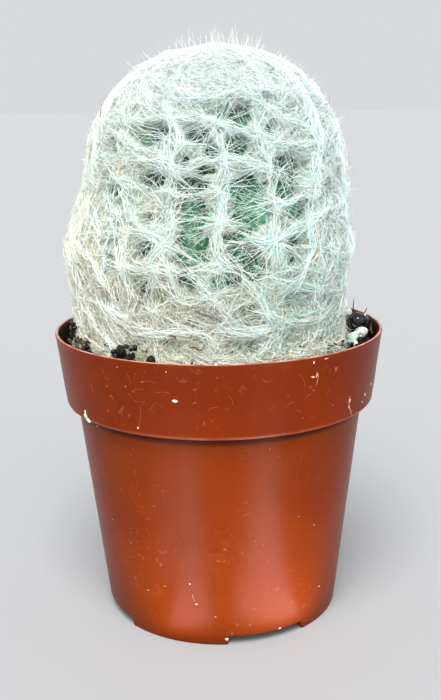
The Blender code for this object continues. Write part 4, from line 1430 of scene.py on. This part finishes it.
def make_standing(windows, materials):
    """Short hairs that stand off the wool and make its edge soft, and spines on the crown."""
    made = Hairs("wool_standing")
    kinds = (
        # name, hairs, length along the wool, rise, curve of the rise
        ("standing", 8800, (0.0005, 0.0022), (0.0004, 0.0019), 1.2),
        ("long_standing", 380, (0.0008, 0.0030), (0.0016, 0.0034), 1.0),
    )
    for kind, count, run, rise, power in kinds:
        turn, distance = scatter(count)
        hairs = len(turn)
        angle, length = any_turn(hairs), draw.uniform(*run, hairs)
        turns, distances = walk(turn, distance, angle, length, 3, 0.5, 0.15)
        share = crown_share(distances) if power > 1.0 else 1.0
        lift = relief(turns, distances) + column(*rise, hairs) * steps_along(3) ** power * share
        bare = (distance < 0.0055) & (np.abs(near_turn(turn, 1.45)) < 0.40)
        shades = choose_shades(turn, distance, windows, 0.3)
        if power == 1.0:
            shades[draw.random(hairs) < 0.12] = STRAW
        made.lay(turns, distances, lift, half_widths(kind, hairs), shades, ~bare)

    spines = 120
    turn = any_turn(spines)
    distance = WOOL.length * (1.0 - 0.24 * np.sqrt(draw.random(spines)))
    angle, length = any_turn(spines), draw.uniform(0.0002, 0.0014, spines)
    turns, distances = walk(turn, distance, angle, length, 4, 0.2, 0.05)
    paths = WOOL.place(turns, distances, steps_along(4) * column(0.0014, 0.0036, spines))
    shades = draw.choice([CREAM, WHITE, BEIGE, STRAW], spines, p=[0.40, 0.30, 0.15, 0.15])
    made.add(paths, half_widths("crown_spine", spines), shades)
    made.make(materials)


def make_hem(materials):
    """Frizzy ends of the wool that spread over the soil at its foot."""
    made = Hairs("wool_hem")
    hairs = 2300
    turn = any_turn(hairs)
    t = steps_along(4)

    def wave(size):
        return size * draw.normal(0.0, 1.0, (hairs, 4)) * t

    start = column(0.0258, 0.0270, hairs)
    reach = 0.0032 * draw.random(hairs) ** 2.2
    radius = start + reach[:, None] * t + wave(0.00025)
    turns = turn[:, None] + draw.normal(0.0, 0.085, hairs)[:, None] * t + wave(0.022)
    top = column(0.0546, 0.0582, hairs)
    foot = SOIL_LEVEL + column(0.0004, 0.0034, hairs)
    height = np.maximum(mix(top, foot, t) + wave(0.0005), SOIL_LEVEL + 0.0003)
    paths = round_axis(turns, radius, height)
    paths[..., 0] += LEAN_X * (1.0 - 0.75 * t)
    limit = inner_radius(POT_HEIGHT) - 0.0005
    keep = (np.hypot(paths[..., 0], paths[..., 1]) < limit).all(axis=1)
    # less of it beside the lump at the right and the crumbs at the left
    bare = np.exp(-(near_turn(turn, 1.42) / 0.52) ** 2)
    bare = bare + np.exp(-(near_turn(turn, -1.5) / 0.35) ** 2)
    keep &= draw.random(hairs) > 1.1 * bare * smooth_step(0.0001, 0.0008, reach)
    kinds = [CREAM, BEIGE, GREY, COOL, STRAW]
    shades = draw.choice(kinds, hairs, p=[0.27, 0.27, 0.22, 0.15, 0.09])
    made.add(paths, half_widths("hem", hairs), shades, keep)
    made.make(materials)


CROWN_CLUSTERS = (
    # across, down, hairs, lean to the right, length in mm
    (166, 52, 6, -0.55, 4.6), (172, 50, 5, -0.35, 3.6), (181, 49, 5, -0.2, 2.8),
    (200, 47, 8, -0.1, 3.6), (209, 46, 7, 0.0, 3.4), (220, 45, 5, 0.05, 2.4),
    (238, 47, 9, 0.05, 4.0), (245, 48, 9, 0.1, 4.2), (253, 50, 8, 0.15, 4.0),
    (262, 53, 7, 0.3, 3.6), (272, 57, 4, 0.4, 2.6), (281, 62, 5, 0.5, 3.2), (296, 74, 4, 0.6, 2.8),
    (308, 86, 4, 0.7, 3.0), (319, 100, 4, 0.8, 2.8), (330, 124, 4, 0.9, 2.8),
    (112, 104, 3, -0.8, 2.4), (98, 126, 3, -0.9, 2.4), (90, 160, 4, -1.0, 2.4),
    (82, 200, 3, -1.0, 2.2), (150, 58, 3, -0.5, 2.6), (134, 72, 3, -0.6, 2.4),
    (344, 170, 3, 1.0, 2.6), (346, 205, 3, 1.0, 2.2),
)


def make_crown_hairs(materials):
    """Long fine hairs that stand up in clusters along the edge that the photograph shows."""
    made = Hairs("wool_crown")
    t = steps_along(4)[..., None]
    for across, down, hairs, tilt, length in CROWN_CLUSTERS:
        turn, distance = on_wool(across + draw.normal(0.0, 1.8, hairs),
                                 down + draw.normal(0.0, 1.0, hairs))
        foot = WOOL.place(turn, distance, -0.0002)[:, None, :]
        up = WOOL.place(turn, distance, 0.001)[:, None, :] - foot
        up /= np.linalg.norm(up, axis=2, keepdims=True)
        way = up + (np.array([tilt, 0.0, 1.0 - 0.6 * abs(tilt)])
                    + 0.25 * draw.normal(0.0, 1.0, (hairs, 1, 3)))
        way /= np.linalg.norm(way, axis=2, keepdims=True)
        reach = 0.001 * length * draw.uniform(0.55, 1.1, hairs)[:, None, None]
        bend = 0.0005 * draw.normal(0.0, 1.0, (hairs, 1, 3)) * t ** 2
        shades = draw.choice([WHITE, CREAM, STRAW], hairs, p=[0.52, 0.36, 0.12])
        made.add(foot + way * reach * t + bend, half_widths("crown", hairs), shades)
    made.make(materials)


# ---------- litter and marks

# What the litter and the marks on the pot are made of, in the order of their numbers
LITTER = ("bark", "dry_litter", "dry_strand", "wet_bark", "perlite", "green_perlite", "peat")
BARK, TWIG, STRAND, WET, PALE, MOSSY, PEAT = range(7)
MARKS = ("perlite", "pale_flake", "scuffed_plastic", "grime", "chalk")
GRIT, FLAKE, SCUFF, GRIME, CHALK = range(5)

WOOL_SCRAPS = (
    # across, down, size; the first is the seed
    (167, 340, 0.0007), (192, 336, 0.0004), (193, 363, 0.0006), (213, 362, 0.0006),
    (246, 344, 0.0004), (300, 346, 0.0006), (150, 350, 0.0005), (320, 338, 0.0005),
    (118, 352, 0.0008), (284, 350, 0.0005), (232, 352, 0.0004), (110, 344, 0.0007),
)
# The rest of the glossy lump, which leans over the grains before it, two white crumbs on it and a
# white grain behind
LUMP_BITS = (
    ((0.0283, 0.0022, 0.0577), (0.0046, 0.0040, 0.0042), WET),
    ((0.0294, 0.0016, 0.0567), (0.0024, 0.0024, 0.0040), WET),
    # a white crumb where the lump shows its highlight: a painted highlight
    ((0.0280, 0.0003, 0.0586), (0.0004, 0.0004, 0.0005), PALE),
    ((0.0297, 0.0022, 0.0588), (0.0005, 0.0005, 0.0009), PALE),
    ((0.0276, 0.0010, 0.0571), (0.0020, 0.0020, 0.0016), WET),
    ((0.0263, -0.0040, 0.0549), (0.0025, 0.0022, 0.0021), MOSSY),
    ((0.0265, 0.0071, 0.0586), (0.0023, 0.0024, 0.0024), PALE),
)
FOOT_SCRAPS = (
    # turn in degrees, distance from the pot's axis, size
    (-27, 0.0280, 0.0016), (-22, 0.0290, 0.0014), (-19, 0.0296, 0.0010), (-38, 0.0290, 0.0013),
    (-44, 0.0296, 0.0016), (-16, 0.0292, 0.0009), (88, 0.0296, 0.0013), (97, 0.0300, 0.0012),
    (76, 0.0296, 0.0014), (66, 0.0294, 0.0013), (58, 0.0296, 0.0010), (-75, 0.0300, 0.0015),
)
STICKS = (
    # foot, tip, half width
    ((-0.0308, 0.0050, 0.0577), (-0.0293, 0.0056, 0.0574), 0.00014),
    ((-0.0262, 0.0000, 0.0606), (-0.0284, -0.0010, 0.0562), 0.00012),
    ((0.0276, 0.0040, 0.0580), (0.0278, 0.0050, 0.0616), 0.00013),
    ((0.0292, 0.0030, 0.0580), (0.0304, 0.0040, 0.0600), 0.00014),
    ((0.0262, 0.0010, 0.0590), (0.0268, -0.0008, 0.0556), 0.00012),
    ((0.0309, 0.0015, 0.0572), (0.0308, -0.0010, 0.0556), 0.00030),
    ((0.0050, 0.0292, 0.0546), (0.0110, 0.0284, 0.0560), 0.00022),
    ((-0.0150, 0.0255, 0.0546), (-0.0095, 0.0290, 0.0556), 0.00020),
)
# Marks on the outside of the pot as seen from the front: middle, width and height in the picture,
# and what each one is made of
PIXEL_AT_POT = 0.000205
SPECKS = (
    (175, 401, 5.4, 3.0, GRIT), (117, 367, 1.4, 1.3, CHALK), (166, 372, 1.9, 1.1, CHALK),
    (314, 362, 2.2, 2.8, GRIT), (371, 384, 1.8, 2.6, GRIT), (365, 394, 1.4, 4.4, GRIT),
    (362, 402, 1.4, 3.0, GRIT), (190, 584, 1.6, 1.6, GRIT), (227, 639, 4.0, 4.6, GRIT),
    (280, 628, 4.0, 1.6, GRIT), (216, 365, 4.0, 1.6, GRIT), (221, 367, 3.0, 1.6, GRIT),
    (270, 448, 1.2, 3.0, CHALK), (314, 525, 1.6, 1.4, GRIT), (237, 626, 2.0, 1.6, CHALK),
    # the pale marks at (193, 599) and (196, 604) stand for the brightest part of the left glint:
    # painted highlight
    (193, 599, 5.0, 3.0, CHALK), (196, 604, 3.0, 2.0, CHALK), (216, 616, 3.4, 3.6, CHALK),
    (319, 586, 2.2, 2.2, CHALK), (153, 505, 4.0, 3.0, SCUFF), (326, 358, 6.0, 3.6, CHALK),
    (317, 375, 1.8, 5.4, CHALK), (313, 377, 5.6, 2.0, CHALK), (314, 390, 3.0, 1.8, SCUFF),
    (336, 369, 4.0, 5.0, SCUFF), (350, 400, 2.6, 5.0, CHALK), (349, 407, 2.4, 3.6, CHALK),
    (351, 412, 5.0, 4.0, SCUFF), (333, 405, 1.6, 1.6, SCUFF), (303, 418, 1.6, 1.6, SCUFF),
    (138, 428, 2.6, 3.6, CHALK), (97, 426, 4.0, 1.6, CHALK), (142, 382, 3.2, 2.2, SCUFF),
    (107, 386, 2.4, 2.0, SCUFF), (135, 374, 1.4, 1.6, SCUFF), (145, 372, 1.4, 1.4, SCUFF),
    (193, 498, 2.6, 2.0, GRIME), (249, 512, 1.6, 1.4, SCUFF), (148, 590, 3.0, 1.4, CHALK),
    (165, 586, 1.6, 1.4, CHALK), (160, 612, 2.0, 1.2, SCUFF), (122, 560, 1.4, 1.6, SCUFF),
    (131, 455, 1.4, 1.2, SCUFF), (268, 560, 1.4, 1.2, SCUFF), (90, 424, 4.6, 6.0, GRIME),
    (93, 429, 6.0, 5.0, GRIME), (87, 421, 2.6, 5.0, GRIME), (97, 432, 4.0, 2.6, GRIME),
)
SCRATCHES = (
    # radius in mm, what shows, and three points of the picture
    (0.06, SCUFF, 90.5, 383, 92, 388, 94.5, 394), (0.05, SCUFF, 128, 393, 130.5, 395.5, 132, 398),
    (0.05, SCUFF, 134, 390, 138, 389, 143, 390), (0.04, SCUFF, 142, 383, 146, 381, 157, 383),
    (0.05, SCUFF, 120, 408, 121.5, 411, 122, 416), (0.06, SCUFF, 140, 406, 140.3, 416, 139, 427),
    (0.05, SCUFF, 101, 366, 102.5, 371, 104.5, 375), (0.05, SCUFF, 119, 414, 121, 410, 122.5, 407),
    (0.04, SCUFF, 132, 399, 138, 402, 145, 401), (0.04, SCUFF, 112, 397, 114, 401, 117, 403),
    (0.05, SCUFF, 155, 393, 163, 392, 170, 393.5), (0.04, SCUFF, 176, 377, 180, 381, 186, 383),
    (0.04, SCUFF, 150, 410, 153, 405, 157, 402), (0.04, SCUFF, 191, 474, 214, 463, 253, 457),
    (0.05, SCUFF, 244, 456, 268, 456.5, 296, 457), (0.04, SCUFF, 221, 470, 234, 473, 246, 478),
    (0.04, SCUFF, 184, 480, 190, 479, 197, 481), (0.09, CHALK, 73.5, 411, 76, 414, 79, 417),
    (0.05, CHALK, 317, 372, 318.5, 376, 316.5, 385), (0.05, SCUFF, 338, 366, 336, 371, 333, 375),
    (0.05, CHALK, 350, 396, 349, 404, 352, 415), (0.04, SCUFF, 300, 374, 304, 380, 305, 386),
    (0.04, SCUFF, 228, 395, 232, 400, 233, 406), (0.04, SCUFF, 262, 380, 268, 382, 273, 380),
    (0.04, SCUFF, 208, 411, 212, 408, 219, 407), (0.05, SCUFF, 152, 502, 155, 506, 154, 510),
    (0.04, SCUFF, 285, 410, 289, 404, 296, 401), (0.04, SCUFF, 126, 372, 130, 380, 129, 386),
    (0.05, CHALK, 192, 594, 194, 600, 199, 606), (0.04, SCUFF, 250, 590, 256, 596, 258, 604),
)
FLAKE_LINE = ((85.0, 410.0), (85.6, 414.0), (87.4, 418.0), (90.8, 422.0))
INTO_POT = np.array([0.9992, 0.9992, 1.0])  # sets a scratch a little into the plastic
POT_MIDDLE = 0.03  # about the pot's radius halfway up
LEFT_CRUMBS, RIGHT_CRUMBS = 62, 24
CRUMBS_TOP = 0.0592


def wool_point(across, down, lift):
    """A point `lift` above the wool at this point of the picture."""
    turn, distance = on_wool(across, down)
    return WOOL.place(turn, distance, lift)[0]


def add_twig(bm, points, radius, index=0, sides=6):
    """A thin closed twig through the points, thinner at its ends."""
    points = [Vector(point) for point in points]
    last = len(points) - 1
    rings = []
    for i, point in enumerate(points):
        ahead = (points[min(i + 1, last)] - points[max(i - 1, 0)]).normalized()
        side = ahead.orthogonal().normalized()
        up = ahead.cross(side)
        share = 0.45 if i in (0, last) else draw.uniform(0.8, 1.15)
        ring = []
        for j in range(sides):
            angle = 2.0 * math.pi * j / sides
            off = side * math.cos(angle) + up * math.sin(angle)
            ring.append(bm.verts.new(point + off * radius * share))
        rings.append(ring)
    faces = [bm.faces.new(reversed(rings[0])), bm.faces.new(rings[-1])]
    for low, high in zip(rings, rings[1:]):
        for j in range(sides):
            after = (j + 1) % sides
            faces.append(bm.faces.new((low[j], low[after], high[after], high[j])))
    for face in faces:
        face.material_index = index
        face.smooth = True


def uneven(size):
    return size, size * draw.uniform(0.5, 1.0), size * draw.uniform(0.6, 1.3)


def make_litter(stuff):
    """Twigs, a seed and scraps of peat caught in the wool and along its foot."""
    bm = bmesh.new()
    strand = [(193, 303), (199, 308), (205, 311), (211, 312), (217, 317)]
    add_twig(bm, [wool_point(x, y, 0.0015) for x, y in strand], 0.00028, STRAND)
    add_twig(bm, [wool_point(x - 2.4, y + 1.6, 0.0014) for x, y in strand[1:]], 0.00020, STRAND)
    for points, radius in ((((171, 334), (174, 334), (177, 336), (178, 338)), 0.00013),
                           (((190, 346), (195, 346), (199, 348), (203, 349)), 0.00014)):
        add_twig(bm, [wool_point(*point, 0.0010) for point in points], radius, TWIG)
    for row, (across, down, size) in enumerate(WOOL_SCRAPS):
        for part in range(3):
            place = wool_point(across + draw.normal(0.0, 1.2), down + draw.normal(0.0, 0.9), 0.0007)
            rough_lump(bm, place, size * draw.uniform(0.45, 0.9, 3), draw.uniform(0.0, 3.0), 0.6,
                       3 * across + part, index=BARK if row else TWIG)

    # a crumbly dark clump that leans on the wool in front
    kinds = (BARK, WET, BARK, BARK, TWIG, BARK, WET, BARK, BARK, BARK)
    for number in range(34):
        across, down = draw.uniform(121.0, 141.0), draw.uniform(344.0, 361.0)
        place = wool_point(across, down, draw.uniform(0.0012, 0.0026))
        rough_lump(bm, place, uneven(draw.uniform(0.0006, 0.0015)), draw.uniform(0.0, 3.0), 0.6,
                   930 + number, 2, kinds[number % 10], 9)

    for place, size, kind in LUMP_BITS:
        rough_lump(bm, place, size, 0.4, 0.42, int(1e5 * place[0]), 4, kind,
                   12 if kind == WET else 0)

    # a bank of crumbs against the wool's foot at the left, and a few at the right
    for number in range(LEFT_CRUMBS + RIGHT_CRUMBS):
        left = number < LEFT_CRUMBS
        if left:
            along = draw.random()
            across = mix(70.0, 97.0, along) + draw.normal(0.0, 3.0)
            down = mix(326.0, 356.0, along) + draw.normal(0.0, 3.0)
        else:
            across, down = draw.uniform(322.0, 345.0), draw.uniform(341.0, 352.0)
        place = wool_point(across, down, draw.uniform(0.0003, 0.0016))
        part = draw.uniform(0.0005, 0.0014) * (1.0 if left else 0.7) * draw.uniform(0.6, 1.2, 3)
        x, y, z = place
        if z < CRUMBS_TOP and math.hypot(x, y) < RING_OUTSIDE - 0.5 * part.max():
            rough_lump(bm, place, part, draw.uniform(0.0, 3.0), 0.55, 2000 + number, 2,
                       PEAT if draw.random() < 0.4 else BARK)

    # along the foot: dark scraps in front, a stick at the left, twigs and a chip by the lump
    for turn, radius, size in FOOT_SCRAPS:
        turn = math.radians(turn)
        x, y = math.sin(turn) * radius, -math.cos(turn) * radius
        low = soil_under(x, y)
        for i in range(4):
            part = size * draw.uniform(0.4, 0.9)
            place = (x + draw.normal(0.0, 0.3) * size, y + draw.normal(0.0, 0.3) * size,
                     low + part * draw.uniform(0.2, 0.9))
            if math.hypot(place[0], place[1]) < RING_OUTSIDE - 0.5 * part:
                rough_lump(bm, place, uneven(part), draw.uniform(0.0, 3.0), 0.6,
                           int(1e6 * size) + i)
    for foot, tip, radius in STICKS:
        middle = [0.5 * (a + b) + draw.normal(0.0, 0.0002) for a, b in zip(foot, tip)]
        add_twig(bm, [foot, middle, tip], radius, STRAND if foot[0] < -0.02 else TWIG)
    finish_piece(object_from(bm, "litter", [stuff[name] for name in LITTER]))


def make_specks(stuff):
    """Grit, chalky smudges, scratches, and a pale flake with grime below it, on the pot."""
    bm = bmesh.new()
    across, down, wide, high, kinds = np.array(SPECKS).T
    marks = zip(on_pot(across, down), wide * PIXEL_AT_POT, high * PIXEL_AT_POT, kinds)
    for number, (place, wide, high, kind) in enumerate(marks):
        thick = 0.00013 if kind == GRIT else 0.00006
        rough_lump(bm, place, (thick, wide, high), math.atan2(place[1], place[0]), 0.45,
                   700 + number, 3, int(kind))
    for number in range(26):
        turn = draw.uniform(0.5, 2.0 * math.pi - 0.5)
        height = draw.uniform(0.001, 0.055)
        size = draw.uniform(0.00012, 0.00030)
        rough_lump(bm, round_axis(turn, outer_radius(height), height),
                   (0.3 * size, size * draw.uniform(0.6, 1.2), size), turn - math.pi / 2.0,
                   0.35, 800 + number, 1)
    for thick, kind, *points in SCRATCHES:
        line, _ = smooth_line(np.reshape(points, (3, 2)), 7)
        add_twig(bm, on_pot(*line.T) * INTO_POT, 0.001 * thick, kind, 5)
    # scratches on the sides that the photograph doesn't show
    for _ in range(34):
        turn, height = draw.uniform(1.2, 2.0 * math.pi - 1.2), draw.uniform(0.004, 0.056)
        slope, reach = draw.uniform(-1.3, 1.3), draw.uniform(0.0008, 0.0040)
        points = []
        for step in (0.0, 0.5, 1.0):
            rise = min(max(height + math.sin(slope) * reach * step, 0.002), 0.0565)
            around = math.cos(slope) * reach * step + draw.normal(0.0, 0.0001)
            points.append(round_axis(turn + around / POT_MIDDLE, outer_radius(rise), rise))
        add_twig(bm, points, draw.uniform(0.00004, 0.00006), SCUFF, 5)
    line, _ = smooth_line(FLAKE_LINE, 9)
    line = on_pot(*line.T)
    add_twig(bm, line, 0.00017, FLAKE)
    add_twig(bm, line[2:] + np.array([-0.00022, 0.0, -0.0001]), 0.00015, FLAKE)
    finish_piece(object_from(bm, "pot_specks", [stuff[name] for name in MARKS]))


# ---------- stage

def make_stage():
    bm = bmesh.new()
    bmesh.ops.create_grid(bm, x_segments=1, y_segments=1, size=20.0)
    floor = object_from(bm, "floor", [Surface("floor", rgb(158, 159, 161), 0.6, 0.2).material])

    world = bpy.data.worlds.new("studio")
    bpy.context.scene.world = world
    world.use_nodes = True
    background = world.node_tree.nodes["Background"]
    background.inputs["Color"].default_value = rgb(216, 218, 222)
    background.inputs["Strength"].default_value = 1.0

    for name, direction, angle, power in (
        ("sun", (0.07, 0.56, -0.95), 34.0, 4.2),
        ("fill", (-0.06, 0.95, -0.22), 85.0, 2.4),
    ):
        lamp = bpy.data.lights.new(name, "SUN")
        lamp.angle = math.radians(angle)
        lamp.energy = power
        lamp.color = (1.0, 0.99, 0.97)
        sun = add_object(name, lamp)
        sun.rotation_euler = Vector(direction).to_track_quat("-Z", "Y").to_euler()
    # low cards that lie before the pot, out of the picture: its sides mirror them as upright glints
    for name, near, far, wide, power in (
        ("card_far_left", (-0.0210, -0.0360), (-0.0580, -0.0720), 0.022, 0.012),
        ("card_left", (-0.0080, -0.0262), (-0.0350, -0.0800), 0.012, 0.021),
        ("card_right", (0.0110, -0.0252), (0.0480, -0.0760), 0.021, 0.040),
    ):
        along = Vector((far[0] - near[0], far[1] - near[1], 0.0))
        lamp = bpy.data.lights.new(name, "AREA")
        lamp.shape = "RECTANGLE"
        lamp.size, lamp.size_y = wide, along.length
        lamp.energy = power
        lamp.color = (1.0, 0.93, 0.95)
        card = add_object(name, lamp)
        along.normalize()
        down = Vector((0.0, 0.0, -1.0))
        card.matrix_world = Matrix((along.cross(down), along, down)).transposed().to_4x4()
        card.location = (0.5 * (near[0] + far[0]), 0.5 * (near[1] + far[1]), 0.0006)
        card.visible_camera = False
    bpy.context.scene.view_settings.view_transform = "Standard"


def main():
    make_camera()
    make_stage()
    hair, stuff = make_materials()
    make_pot(stuff["pot_plastic"])
    make_soil(stuff["potting_mix"])
    make_grains(stuff)
    make_crumbs(stuff)
    areoles = make_areoles()
    make_stem(areoles, stuff["stem_skin"])
    windows = window_ellipses()
    make_felt(windows, stuff["wool_felt"])
    make_fuzz(windows, hair)
    make_stars(windows, hair, areoles)
    make_bundles(windows, hair, areoles)
    make_standing(windows, hair)
    make_hem(hair)
    make_crown_hairs(hair)
    make_litter(stuff)
    make_specks(stuff)
    make_veil(windows, hair)


main()
bpy.context.view_layer.update()
